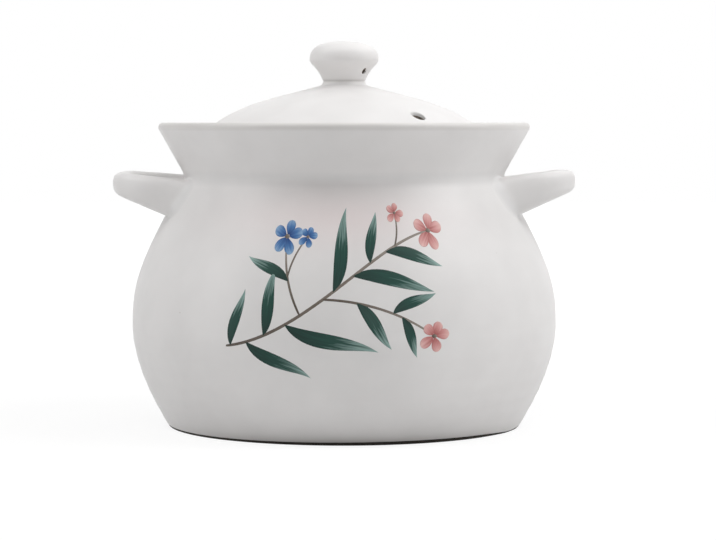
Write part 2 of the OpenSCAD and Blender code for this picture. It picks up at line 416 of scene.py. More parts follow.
@dataclass(frozen=True)
class Punch:
    """A round hole through a turned surface, with a rounded edge."""

    radius: float
    edge: float
    axis: np.ndarray
    row: float
    turn: float
    # Half the size of its window, in rows and in turns
    half: int = 5
    # Rings between the window and the edge, and the angles of those that roll over it
    flat_rings: int = 5
    roll: tuple[float, ...] = (25.0, 50.0, 70.0, 90.0)
    # Glaze depth at the end of the rolled edge
    thin: float = -0.4
    # Rounds of Newton's steps, and the small part of a row or turn over which a slope is taken
    rounds: int = 8
    slope_step: float = 0.01

    @property
    def window(self) -> Window:
        """The part of the grid that the hole's rings fill."""
        return Window.around(self.row, self.turn, self.half)

    def middle(self, lathe: Lathe) -> np.ndarray:
        """The point of the surface that the hole's axis goes through."""
        return lathe.at(np.array(self.row), np.array(self.turn))

    def across(self, lathe: Lathe) -> np.ndarray:
        """Two unit vectors square to the hole's axis, the first level."""
        level = unit(np.cross(UP, self.middle(lathe) * [1, 1, 0]))
        return np.stack([level, np.cross(self.axis, level)])

    def land(self, lathe: Lathe, wanted: np.ndarray) -> tuple[np.ndarray, np.ndarray]:
        """Rows and turns at which the surface has wanted places seen along the hole's axis, by Newton's steps.

        Args:
            lathe: The surface.
            wanted: Places from the hole's middle along its two across vectors.

        Returns:
            Rows and turns, in the layout of wanted.
        """
        frame, step = self.across(lathe).T, self.slope_step
        middle = self.middle(lathe) @ frame
        rows, turns = (np.full(wanted.shape[:-1], float(v)) for v in (self.row, self.turn))
        for _ in range(self.rounds):
            here = lathe.at(rows, turns) @ frame
            by_row = (lathe.at(rows + step, turns) @ frame - here) / step
            by_turn = (lathe.at(rows, turns + step) @ frame - here) / step
            off = wanted + middle - here
            whole = by_row[..., 0] * by_turn[..., 1] - by_row[..., 1] * by_turn[..., 0]
            rows = rows + (off[..., 0] * by_turn[..., 1] - off[..., 1] * by_turn[..., 0]) / whole
            turns = turns + (by_row[..., 0] * off[..., 1] - by_row[..., 1] * off[..., 0]) / whole
        return rows, turns

    def cut(self, shell: Shell, lathe: Lathe, numbers: np.ndarray) -> tuple[np.ndarray, np.ndarray]:
        """Fills the window with rings that shrink from its edge to the hole and roll over into it.

        A ring on the surface lies a share of the way from the window's edge to the circle, in rows and turns. A ring
        of the rounded edge, at angle b, lies at the radius plus edge (1 - sin b) and edge (1 - cos b) down the axis.

        Args:
            shell: Takes the rings.
            lathe: The surface.
            numbers: The surface's points, rows by turns.

        Returns:
            Numbers and places of the last ring.
        """
        rows, turns = self.window.edge()
        way = unit((lathe.at(rows, turns) - self.middle(lathe)) @ self.across(lathe).T)
        far_rows, far_turns = self.land(lathe, (self.radius + self.edge) * way)
        share = np.linspace(0, 1, self.flat_rings + 1)[1:, None]
        flat = lathe.at(rows + share * (far_rows - rows), turns + share * (far_turns - turns))
        b = np.radians(self.roll)[:, None, None]
        lip = lathe.at(*self.land(lathe, (self.radius + self.edge * (1 - np.sin(b))) * way))
        lip = lip - self.edge * (1 - np.cos(b)) * self.axis
        rings = np.concatenate([flat, lip])
        made = shell.points(rings, glaze_depth=np.linspace(0, self.thin, len(rings))[:, None])
        shell.skin(np.concatenate([numbers[rows, turns % lathe.turns][None], made]))
        return made[-1], rings[-1]


def linear(code: str) -> tuple[float, float, float, float]:
    """Turns an sRGB hex colour into linear RGBA.

    Args:
        code: The colour, such as #ECEAE9.

    Returns:
        Linear red, green and blue, and 1 for opaque.
    """
    c = np.array([int(code[k : k + 2], 16) for k in (1, 3, 5)]) / 255.0
    c = np.where(c <= 0.04045, c / 12.92, ((c + 0.055) / 1.055) ** 2.4)
    return (float(c[0]), float(c[1]), float(c[2]), 1.0)


def add_node(
    tree: bpy.types.NodeTree, kind: str, inputs: dict[Any, Any] | None = None, **settings: Any
) -> bpy.types.Node:
    """Adds a node.

    Args:
        tree: Takes the node.
        kind: Blender's name of the node's type.
        inputs: Values, or sockets to link from, by the input's name or number.
        settings: The node's own properties.

    Returns:
        The node.
    """
    made = tree.nodes.new(kind)
    for name, value in settings.items():
        setattr(made, name, value)
    for key, value in (inputs or {}).items():
        if isinstance(value, bpy.types.NodeSocket):
            tree.links.new(value, made.inputs[key])
        else:
            made.inputs[key].default_value = value
    return made


def blank_material(name: str) -> tuple[bpy.types.Material, bpy.types.NodeTree]:
    """Makes a material with nothing in it.

    Args:
        name: Name of the material.

    Returns:
        The material and its empty node tree.
    """
    made = bpy.data.materials.new(name)
    made.use_nodes = True
    made.node_tree.nodes.clear()
    return made, made.node_tree


@dataclass(frozen=True)
class SatinGlaze:
    """White satin glaze on stoneware.

    It was sprayed on, so it has soft broad highlights, a faint orange peel and slight clouds. It lies thick in
    hollows, where it is greyer, and thin on edges, where the clay shows through a little; on the pot that edge tone is
    dark enough to paint the shade under the lip too. Above the dark bare foot and in the crease under the knob, a grey
    tone paints the shade that falls there.
    """

    name: str = "white_satin_glaze"
    colour: str = "#ECEAE9"
    cloud: str = "#E5E3E2"
    pooled: str = "#D9D8D8"
    # Thin glaze on edges, dark enough to paint the shade under the lip as well
    thin: str = "#D9D6D3"
    blush: str = "#EFD7D6"
    # Grey that paints the shade above the foot and in the crease under the knob
    sponged: str = "#B2AFAC"
    speck: str = "#A79F94"
    roughness: float = 0.42
    # How far the roughness goes up and down with the clouds
    roughness_change: float = 0.05
    ior: float = 1.5
    # Size of the clouds and of the orange peel, and the height and strength of each
    cloud_mm: float = 38.0
    cloud_height_mm: float = 0.9
    cloud_bump: float = 0.35
    peel_mm: float = 3.2
    peel_height_mm: float = 0.06
    peel_bump: float = 0.25
    # Levels of the noise between which one tone goes over into the other
    cloud_levels: tuple[float, float] = (0.35, 0.7)
    # Glaze depths over which it goes over into pooled and into thin glaze
    pooled_depths: tuple[float, float] = (0.05, 0.9)
    thin_depths: tuple[float, float] = (-0.2, -1.0)
    # Distance and size of the iron specks, the part of a speck that is fully dark, and the share of places without one
    speck_every_mm: float = 22.0
    speck_mm: float = 0.35
    speck_core: float = 0.4
    speckless: float = 0.75

    def material(self) -> bpy.types.Material:
        """Builds the material from object coordinates and the piece's values for glaze depth, blush and painted shade.

        Returns:
            The glaze.
        """
        made, tree = blank_material(self.name)
        place = add_node(tree, "ShaderNodeTexCoord").outputs["Object"]
        depth, wash, shade_share = (
            add_node(tree, "ShaderNodeAttribute", attribute_name=name).outputs["Fac"]
            for name in ("glaze_depth", "blush", "sponged")
        )
        clouds, peel = (
            add_node(
                tree, "ShaderNodeTexNoise", {"Vector": place, "Scale": 1 / (size * MM), "Detail": detail}
            ).outputs["Fac"]
            for size, detail in ((self.cloud_mm, 3.0), (self.peel_mm, 1.0))
        )
        # Slow clouds in the sprayed coat, pooled glaze in hollows, and thin glaze on edges that on the pot also paints
        # the shade under the lip
        cloudy, deep, thin_edge_shade = (
            add_node(tree, "ShaderNodeMapRange", {"Value": value, "From Min": low, "From Max": high}).outputs[0]
            for value, (low, high) in (
                (clouds, self.cloud_levels), (depth, self.pooled_depths), (depth, self.thin_depths)
            )
        )
        # A few iron specks
        cells = add_node(tree, "ShaderNodeTexVoronoi", {"Vector": place, "Scale": 1 / (self.speck_every_mm * MM)})
        size = self.speck_mm / self.speck_every_mm
        near = add_node(
            tree, "ShaderNodeMapRange",
            {"Value": cells.outputs["Distance"], "From Min": size, "From Max": size * self.speck_core},
        )
        chance = add_node(tree, "ShaderNodeSeparateColor", {"Color": cells.outputs["Color"]})
        chosen = add_node(tree, "ShaderNodeMath", {0: chance.outputs[0], 1: self.speckless}, operation="GREATER_THAN")
        spot = add_node(tree, "ShaderNodeMath", {0: near.outputs[0], 1: chosen.outputs[0]}, operation="MULTIPLY")
        # Each tone goes over the ones before it
        tone = linear(self.colour)
        for share, code in (
            (cloudy, self.cloud), (deep, self.pooled), (thin_edge_shade, self.thin),
            # After the blush comes the grey that paints shade near the table and under the knob
            (wash, self.blush), (shade_share, self.sponged), (spot.outputs[0], self.speck),
        ):
            tones = {SHARE: share, UNDER: tone, OVER: linear(code)}
            tone = add_node(tree, "ShaderNodeMix", tones, data_type="RGBA").outputs[MIXED]
        low, high = self.roughness - self.roughness_change, self.roughness + self.roughness_change
        rough = add_node(tree, "ShaderNodeMapRange", {"Value": clouds, "To Min": low, "To Max": high}).outputs[0]
        wave = add_node(
            tree, "ShaderNodeBump",
            {"Strength": self.cloud_bump, "Distance": self.cloud_height_mm * MM, "Height": clouds},
        )
        skin = add_node(
            tree, "ShaderNodeBump",
            {"Strength": self.peel_bump, "Distance": self.peel_height_mm * MM, "Height": peel,
             "Normal": wave.outputs[0]},
        )
        shader = add_node(
            tree, "ShaderNodeBsdfPrincipled",
            {"Base Color": tone, "Roughness": rough, "IOR": self.ior, "Normal": skin.outputs[0]},
        )
        add_node(tree, "ShaderNodeOutputMaterial", {"Surface": shader.outputs[0]})
        return made


@dataclass(frozen=True)
class BareClay:
    """Unglazed fired stoneware, dry, dull and grainy.

    It was wiped clean where the pot stands and where the lid sits, and glaze ran only a little way into the holes,
    where the clay's dark tone paints the shade inside them. The foot's darker copy paints the contact shadow.
    """

    name: str
    colour: str
    dark: str
    roughness: float = 0.88
    ior: float = 1.25
    # Grit, drawn coarser than the real one so that it shows, and its height and strength
    grain_mm: float = 0.9
    grain_height_mm: float = 0.15
    grain_bump: float = 0.5
    # Levels of the noise between which one tone goes over into the other
    grain_levels: tuple[float, float] = (0.35, 0.7)

    def material(self) -> bpy.types.Material:
        """Builds the material from object coordinates.

        Returns:
            The clay.
        """
        made, tree = blank_material(self.name)
        place = add_node(tree, "ShaderNodeTexCoord").outputs["Object"]
        scale = 1 / (self.grain_mm * MM)
        grain = add_node(tree, "ShaderNodeTexNoise", {"Vector": place, "Scale": scale, "Detail": 3.0}).outputs["Fac"]
        low, high = self.grain_levels
        share = add_node(tree, "ShaderNodeMapRange", {"Value": grain, "From Min": low, "From Max": high}).outputs[0]
        tones = {SHARE: share, UNDER: linear(self.colour), OVER: linear(self.dark)}
        tone = add_node(tree, "ShaderNodeMix", tones, data_type="RGBA").outputs[MIXED]
        rub = add_node(
            tree, "ShaderNodeBump",
            {"Strength": self.grain_bump, "Distance": self.grain_height_mm * MM, "Height": grain},
        )
        shader = add_node(
            tree, "ShaderNodeBsdfPrincipled",
            {"Base Color": tone, "Roughness": self.roughness, "IOR": self.ior, "Normal": rub.outputs[0]},
        )
        add_node(tree, "ShaderNodeOutputMaterial", {"Surface": shader.outputs[0]})
        return made


@dataclass(frozen=True)
class BrushEnamel:
    """Overglaze enamel, laid by a loaded brush.

    It is dense at the root of a stroke, thin and streaky at its tip, and darker along its wet edges.
    """

    name: str
    root: str
    middle: str
    tip: str
    edge: str
    roughness: float = 0.45
    ior: float = 1.36
    # Width of the streaks that the hairs leave, drawn coarser than the real ones so that they show, how many times as
    # long they are, and how far along the stroke they carry its colours
    streak_mm: float = 0.9
    streak_length: float = 14.0
    streak_levels: tuple[float, float] = (0.3, 0.7)
    streak_carry: float = 0.16
    # Places of the root's, the middle's and the tip's colour along the stroke
    stops: tuple[float, float, float] = (0.05, 0.55, 1.0)
    # Share of the half width at which the wet edge starts, and how dark it gets
    edge_from: float = 0.7
    edge_most: float = 0.55

    def material(self) -> bpy.types.Material:
        """Builds the material from the stroke's own values: along, across and brush, which is in millimetres.

        Returns:
            The enamel.
        """
        made, tree = blank_material(self.name)
        along, across, brush = (
            add_node(tree, "ShaderNodeAttribute", attribute_name=name) for name in ("along", "across", "brush")
        )
        # Hairs of the brush
        stretch = (1 / self.streak_length, 1.0, 1.0)
        hairs = add_node(tree, "ShaderNodeMapping", {"Vector": brush.outputs["Vector"], "Scale": stretch})
        streak = add_node(
            tree, "ShaderNodeTexNoise", {"Vector": hairs.outputs[0], "Scale": 1 / self.streak_mm, "Detail": 2.0}
        )
        low, high = self.streak_levels
        shift = add_node(
            tree, "ShaderNodeMapRange",
            {"Value": streak.outputs["Fac"], "From Min": low, "From Max": high,
             "To Min": -self.streak_carry, "To Max": self.streak_carry},
        )
        load = add_node(tree, "ShaderNodeMath", {0: along.outputs["Fac"], 1: shift.outputs[0]}, operation="ADD")
        ramp = add_node(tree, "ShaderNodeValToRGB", {0: load.outputs[0]})
        stops = ramp.color_ramp.elements
        stops[0].position, stops[0].color = self.stops[0], linear(self.root)
        stops[1].position, stops[1].color = self.stops[2], linear(self.tip)
        stops.new(self.stops[1]).color = linear(self.middle)
        wet = add_node(
            tree, "ShaderNodeMapRange",
            {"Value": across.outputs["Fac"], "From Min": self.edge_from, "From Max": 1.0, "To Max": self.edge_most},
        )
        tones = {SHARE: wet.outputs[0], UNDER: ramp.outputs[0], OVER: linear(self.edge)}
        tone = add_node(tree, "ShaderNodeMix", tones, data_type="RGBA").outputs[MIXED]
        shader = add_node(
            tree, "ShaderNodeBsdfPrincipled", {"Base Color": tone, "Roughness": self.roughness, "IOR": self.ior}
        )
        add_node(tree, "ShaderNodeOutputMaterial", {"Surface": shader.outputs[0]})
        return made


def settle(piece: bpy.types.Object, body: Body, slot: str, *nodes: str) -> bpy.types.Object:
    """Lets a piece ride on a body and puts it in place of CAD nodes.

    Args:
        piece: The finished piece.
        body: The body that it moves with.
        slot: Not used.
        nodes: The CAD nodes that it stands for.

    Returns:
        The piece.
    """
    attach(piece, body.value)
    if nodes:
        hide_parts(*nodes)
    mesh = piece.data
    LOG.info("%s: %d points, %d faces, on %s", piece.name, len(mesh.vertices), len(mesh.polygons), body.value)
    return piece


@dataclass(frozen=True)
class PotBody:
    """The thrown pot: foot ring, belly, waist, flared collar and the ledge inside it that carries the lid."""

    belly_d: float = 251.0
    belly_h: float = 60.0
    foot_d: float = 207.4
    foot_lean: float = 35.7
    foot_round: float = 1.5
    neck_d: float = 188.4
    neck_h: float = 146.5
    neck_round: float = 5.0
    shoulder_lean: float = 29.5
    rim_d: float = 219.0
    rim_h: float = 178.5
    lip_t: float = 5.5
    wall_t: float = 7.0
    floor_t: float = 9.0
    floor_curve_w: float = 28.0
    foot_ring_w: float = 12.0
    foot_hollow_h: float = 2.0
    foot_pull: float = 0.17
    low_belly_pull: float = 0.4
    high_belly_pull: float = 0.27
    shoulder_pull: float = 0.64
    floor_pull: float = 0.62
    seat_h: float = 160.0
    ledge_w: float = 10.5
    throat_h: float = 8.0
    ledge_round: float = 1.5
    # How far the glazed belly lies inside its nominal form, so that the raised brushwork stays within it, the heights
    # over which that starts, and the depths under the waist over which it ends
    belly_inset: float = 0.3
    inset_from: tuple[float, float] = (1.0, 9.0)
    inset_to: tuple[float, float] = (12.0, 3.0)
    # Radius to which sponge and glaze softened the waist, how many such radii up and down from it are looked at, in how
    # many steps, and how many of them are changed
    soft_waist: float = 8.0
    soft_span: float = 2.5
    soft_steps: int = 251
    soft_reach: float = 1.4
    # Faint rings left by the thrower's fingers on the lower belly, how far their pitch drifts and over which height,
    # and the shares of the belly's height over which they fade out
    ring_depth: float = 0.16
    ring_pitch: float = 8.5
    ring_drift: float = 1.3
    ring_drift_h: float = 13.0
    ring_fade: tuple[float, float] = (0.6, 1.3)
    # Height up to which the foot was wiped bare, to clay dark enough to paint the contact shadow, the height at which
    # the grid lies level again above that line, and the line's rises and falls, which follow that shadow, each with its
    # direction from the front and its reach in degrees
    wiped_h: float = 1.5
    level_h: float = 9.0
    shadow_line_rises: tuple[tuple[float, float, float], ...] = ((0.45, 20.0, 34.0), (-0.25, -50.0, 26.0), (-1.2, 68.0, 12.0))
    # Height over which the painted shade above that line fades by the factor e, its least share, and the direction and
    # reach where that painted shade is deepest
    shade_fade: float = 4.0
    shade_least: float = 0.2
    shade_most_at: tuple[float, float] = (5.0, 55.0)
    # Middle and reach of the faint warm blush behind the brushwork, around the belly and upwards
    blush_at: tuple[float, float] = (-4.0, 126.0)
    blush_reach: tuple[float, float] = (75.0, 15.5)
    blush_most: float = 0.33
    # Depth under the outer wall within which a point counts as on it
    skin_t: float = 1.0
    # Radius of the innermost ring of the grid
    pole_r: float = 12.0
    # Share of the lower wall that has fine steps, and the steps of each part of the profile
    fine_share: float = 0.06
    fine_steps: int = 7
    lower_steps: int = 58
    upper_steps: int = 72
    collar_steps: int = 24
    inside_steps: int = 40
    floor_steps: int = 32

    @property
    def belly_r(self) -> float:
        """Outer radius of the belly."""
        return self.belly_d / 2

    @property
    def neck_r(self) -> float:
        """Outer radius of the waist."""
        return self.neck_d / 2

    @property
    def flare(self) -> float:
        """Lean of the collar: the way from the waist's arc to the lip's, turned until it touches both."""
        way = self._lip_middle() - self._waist_middle()
        return math.degrees(math.atan2(*way) + math.asin((self.neck_round + self.lip_t / 2) / np.linalg.norm(way)))

    @property
    def seat_r(self) -> float:
        """Radius at which the inside of the collar meets the ledge."""
        inner = self._lip_middle() - self.lip_t / 2 * lean_out(self.flare)
        return float(inner[0] - (inner[1] - self.seat_h) * math.tan(math.radians(self.flare)))

    @property
    def throat_r(self) -> float:
        """Radius of the throat inside the ledge."""
        return self.seat_r - self.ledge_w

    def _lip_middle(self) -> np.ndarray:
        """Middle of the lip's round, as (r, z)."""
        return np.array([self.rim_d / 2 - self.lip_t / 2, self.rim_h - self.lip_t / 2])

    def _waist_middle(self) -> np.ndarray:
        """Middle of the waist's hollow arc, as (r, z)."""
        return np.array([self.neck_r + self.neck_round, self.neck_h])

    def _foot_edge(self) -> float:
        """Length that the foot's rounding takes off its flat."""
        return self.foot_round * math.tan(math.radians((90 - self.foot_lean) / 2))

    def _high_wall(self) -> np.ndarray:
        """The wall from the belly's widest part to the waist.

        Returns:
            The four pulls of its cubic.
        """
        upper = self.neck_h - self.belly_h
        s = math.radians(self.shoulder_lean)
        end = self._waist_middle() - self.neck_round * np.array([math.cos(s), math.sin(s)])
        return np.array([
            [self.belly_r, self.belly_h],
            [self.belly_r, self.belly_h + self.high_belly_pull * upper],
            end + self.shoulder_pull * upper * np.array([math.sin(s), -math.cos(s)]),
            end,
        ])

    def _thrown(self, wall: np.ndarray) -> np.ndarray:
        """Draws a wall in by the inset and by sine rings that fade out above the belly's widest part.

        Args:
            wall: Points (r, z).

        Returns:
            The same heights with the smaller radii.
        """
        z = wall[:, 1]
        ends = (self.neck_h - depth for depth in self.inset_to)
        inside = smooth_step(*self.inset_from, z) * (1 - smooth_step(*ends, z))
        wave = 0.5 + 0.5 * np.sin(2 * np.pi * z / self.ring_pitch + self.ring_drift * np.sin(z / self.ring_drift_h))
        fade = (share * self.belly_h for share in self.ring_fade)
        rings = self.ring_depth * wave * (1 - smooth_step(*fade, z))
        return wall - np.stack([inside * (self.belly_inset + rings), np.zeros_like(z)], axis=-1)

    def _softened(self, wall: np.ndarray) -> np.ndarray:
        """Fills the waist of a wall as far as a ball of the soft radius R, rolled up along it, can't reach.

        The ball's middle stands at the most of r + sqrt(R^2 - h^2) over the steps h up and down from it. The wall then
        stands at the least of the middles less sqrt(R^2 - h^2).

        Args:
            wall: Points (r, z) that rise all the way.

        Returns:
            The same heights with the softened radii.
        """
        z = self.neck_h + self.soft_waist * np.linspace(-self.soft_span, self.soft_span, self.soft_steps)
        steps = self.soft_waist**2 - (z[:, None] - z) ** 2
        ball = np.where(steps >= 0, np.sqrt(np.maximum(steps, 0)), -np.inf)
        middles = np.max(np.interp(z, wall[:, 1], wall[:, 0]) + ball, axis=1)
        soft = np.min(middles - ball, axis=1)
        near = np.abs(wall[:, 1] - self.neck_h) < self.soft_reach * self.soft_waist
        return np.stack([np.where(near, np.interp(wall[:, 1], z, soft), wall[:, 0]), wall[:, 1]], axis=-1)

    def outer_wall(self) -> np.ndarray:
        """The outside from the foot's edge to the lip, as (r, z) points that rise all the way.

        Returns:
            The foot's arc, the lower and upper cubics, the waist's arc and the straight collar, thrown and softened.
        """
        flare = self.flare
        foot_r = self.foot_d / 2
        edge = self._foot_edge()
        foot_top = np.array([foot_r, 0.0]) + edge * lean_dir(self.foot_lean)
        low = [
            foot_top,
            foot_top + self.foot_pull * self.belly_h * lean_dir(self.foot_lean),
            [self.belly_r, self.belly_h * (1 - self.low_belly_pull)],
            [self.belly_r, self.belly_h],
        ]
        fine = np.linspace(0.0, self.fine_share, self.fine_steps)
        rest = np.linspace(self.fine_share, 1.0, self.lower_steps)
        foot = arc([foot_r - edge, self.foot_round], self.foot_round, -90, -self.foot_lean, count=7)
        lower = cubic(low, np.concatenate([fine, rest[1:]]))
        upper = cubic(self._high_wall(), np.linspace(0, 1, self.upper_steps))
        waist = arc(self._waist_middle(), self.neck_round, 180 + self.shoulder_lean, 180 - flare, count=11)
        collar = line(waist[-1], self._lip_middle() + self.lip_t / 2 * lean_out(flare), self.collar_steps)
        return self._softened(self._thrown(np.concatenate([foot, lower[1:], upper[1:], waist[1:], collar[1:]])))

    def radius_at(self, z: np.ndarray) -> np.ndarray:
        """Outer radius at heights between the foot and the lip."""
        wall = self.outer_wall()
        return np.interp(z, wall[:, 1], wall[:, 0])

    def _runs(self) -> list[tuple[np.ndarray, Coat]]:
        """The profile from the middle of the underside, out and up, over the lip and down to the inside of the floor.

        Returns:
            The points of each run and what covers it.
        """
        flare, hollow_h, ledge_round = self.flare, self.foot_hollow_h, self.ledge_round
        ring_in = self.foot_d / 2 - self._foot_edge() - self.foot_ring_w
        under = [[self.pole_r, hollow_h], [ring_in - hollow_h, hollow_h], [ring_in, 0.0]]
        wall = self.outer_wall()
        wiped = int(np.searchsorted(wall[:, 1], self.wiped_h))
        lip_arc = arc(self._lip_middle(), self.lip_t / 2, -flare, 180 - flare, count=15)
        seat_edge = ledge_round * math.tan(math.radians(45 - flare / 2))
        inner_corner = arc([self.seat_r - seat_edge, self.seat_h + ledge_round], ledge_round, -flare, -90, count=7)
        throat_edge = arc([self.throat_r + ledge_round, self.seat_h - ledge_round], ledge_round, 90, 180, count=7)
        half_edge = len(throat_edge) // 2
        inside = cubic(self._high_wall()[::-1], np.linspace(0, 1, self.inside_steps), self.wall_t)
        throat_foot = np.array([self.throat_r, self.seat_h - self.throat_h])
        inner_r, floor_r = self.belly_r - self.wall_t, self.foot_d / 2 - self.floor_curve_w
        floor = [
            [inner_r, self.belly_h],
            [inner_r, self.belly_h - self.floor_pull * (self.belly_h - self.floor_t)],
            [floor_r + self.floor_pull * (inner_r - floor_r), self.floor_t],
            [floor_r, self.floor_t],
        ]
        return [
            # The underside and the foot are bare clay, dark enough to paint the contact shadow
            (np.array(under), Coat.DARK),
            (wall[: wiped + 1], Coat.DARK),
            (wall[wiped:], Coat.GLAZED),
            (lip_arc, Coat.GLAZED),
            (line(lip_arc[-1], inner_corner[0], count=8), Coat.GLAZED),
            (inner_corner, Coat.GLAZED),
            (throat_edge[: half_edge + 1], Coat.BARE),
            (throat_edge[half_edge:], Coat.GLAZED),
            (line(throat_edge[-1], throat_foot, count=4), Coat.GLAZED),
            (line(throat_foot, inside[0], count=4), Coat.GLAZED),
            (inside, Coat.GLAZED),
            (cubic(floor, np.linspace(0, 1, self.floor_steps)), Coat.GLAZED),
            (line(floor[-1], [self.pole_r, self.floor_t], count=6), Coat.GLAZED),
        ]

    def _foot_shadow(self, lathe: Lathe) -> tuple[np.ndarray, np.ndarray]:
        """Where the dark bare foot ends, on a line that rises and falls with the contact shadow it paints, and the
        shade above.

        The line's rise is a sum of bell curves exp(-x^2) of its direction. Points near the line share in its rise, less
        and less towards the foot's edge and towards the level height. Above it, the share of painted shade falls as
        exp(-h).

        Args:
            lathe: The pot's turned surface.

        Returns:
            Rows by which the grid slides along the profile, and the share of painted shade, both rows by turns.
        """
        points, starts = lathe.profile.points, lathe.profile.starts
        wall = np.arange(starts[1], starts[3])
        z = points[wall, 1][:, None]
        around = (lathe.first + 360.0 * np.arange(lathe.turns) / lathe.turns - 90.0) % 360.0 - 180.0

        def bell(at: float, reach: float) -> np.ndarray:
            """The curve exp(-x^2) of the directions, 1 in its own."""
            return np.exp(-(((around - at) / reach) ** 2))

        rise = sum(high * bell(at, reach) for high, at, reach in self.shadow_line_rises)
        # The painted shade is deepest towards the right front
        most = self.shade_least + (1 - self.shade_least) * bell(*self.shade_most_at)
        moved = z + np.minimum(z / self.wiped_h, 1.0) * (1 - smooth_step(self.wiped_h, self.level_h, z)) * rise
        slide, sponged = np.zeros((2, len(points), lathe.turns))
        slide[wall] = np.interp(moved, z[:, 0], wall) - wall[:, None]
        sponged[wall] = most * np.exp(-np.maximum(moved - self.wiped_h - rise, 0) / self.shade_fade)
        return slide, sponged

    def build(self) -> Shell:
        """Turns the profile, with glaze depth, painted shadow at the foot and blush as a soft oval on the front.

        Returns:
            The closed pot.
        """
        profile = Profile.of_runs(self._runs())
        lathe = Lathe(profile)
        shell = Shell()
        slide, sponged = self._foot_shadow(lathe)
        rows, turns = np.arange(len(profile.points))[:, None], np.arange(lathe.turns)[None]
        x, y, z = np.moveaxis(lathe.at(rows, turns), -1, 0)
        place = np.stack([self.belly_r * np.arctan2(x, -y), z], axis=-1)
        off = np.linalg.norm((place - self.blush_at) / self.blush_reach, axis=-1)
        outside = np.hypot(x, y) > self.radius_at(z) - self.skin_t
        blush = self.blush_most * np.exp(-(off**2)) * outside * (z < self.neck_h)
        shell.turn(
            lathe, (self.foot_hollow_h, self.floor_t), slide=slide,
            glaze_depth=pooling(profile.points)[:, None], blush=blush, sponged=sponged,
        )
        return shell

    def dress(self, shell: Shell, *coats: bpy.types.Material) -> bpy.types.Object:
        """Writes the pot with its glaze, its bare ledge and its dark bare foot, whose darkness paints the contact
        shadow.
        """
        return settle(shell.write("pot_body_glazed", coats), Body.POT, "pot_glaze", "pot_body")

    def beyond(self, points: np.ndarray) -> tuple[np.ndarray, np.ndarray]:
        """How far points lie outside the outer form, and the form's outward direction nearest to them.

        Each point is set against every step of the profile in (r, z), and the nearest foot of a perpendicular wins.

        Args:
            points: Points (x, y, z), one row each.

        Returns:
            Distances, under 0 inside the clay, and unit vectors.
        """
        flare = self.flare
        wall = np.concatenate([self.outer_wall(), arc(self._lip_middle(), self.lip_t / 2, -flare, 90 - flare, count=5)])
        wall = wall[np.concatenate([[True], np.linalg.norm(np.diff(wall, axis=0), axis=1) > SAME])]
        r = np.hypot(points[:, 0], points[:, 1])
        at = np.stack([r, points[:, 2]], axis=-1)
        step = np.diff(wall, axis=0)
        share = ((at[:, None] - wall[:-1]) * step).sum(-1) / (step**2).sum(-1)
        gap = at[:, None] - (wall[:-1] + np.clip(share, 0, 1)[..., None] * step)
        near = np.argmin((gap**2).sum(-1), axis=1)
        out = unit(np.stack([step[:, 1], -step[:, 0]], axis=-1))[near]
        gap = gap[np.arange(len(at)), near]
        distance = np.linalg.norm(gap, axis=1) * np.where((gap * out).sum(-1) < 0, -1.0, 1.0)
        round_about = points[:, :2] / np.maximum(r, TINY)[:, None]
        return distance, np.concatenate([out[:, :1] * round_about, out[:, 1:]], axis=1)


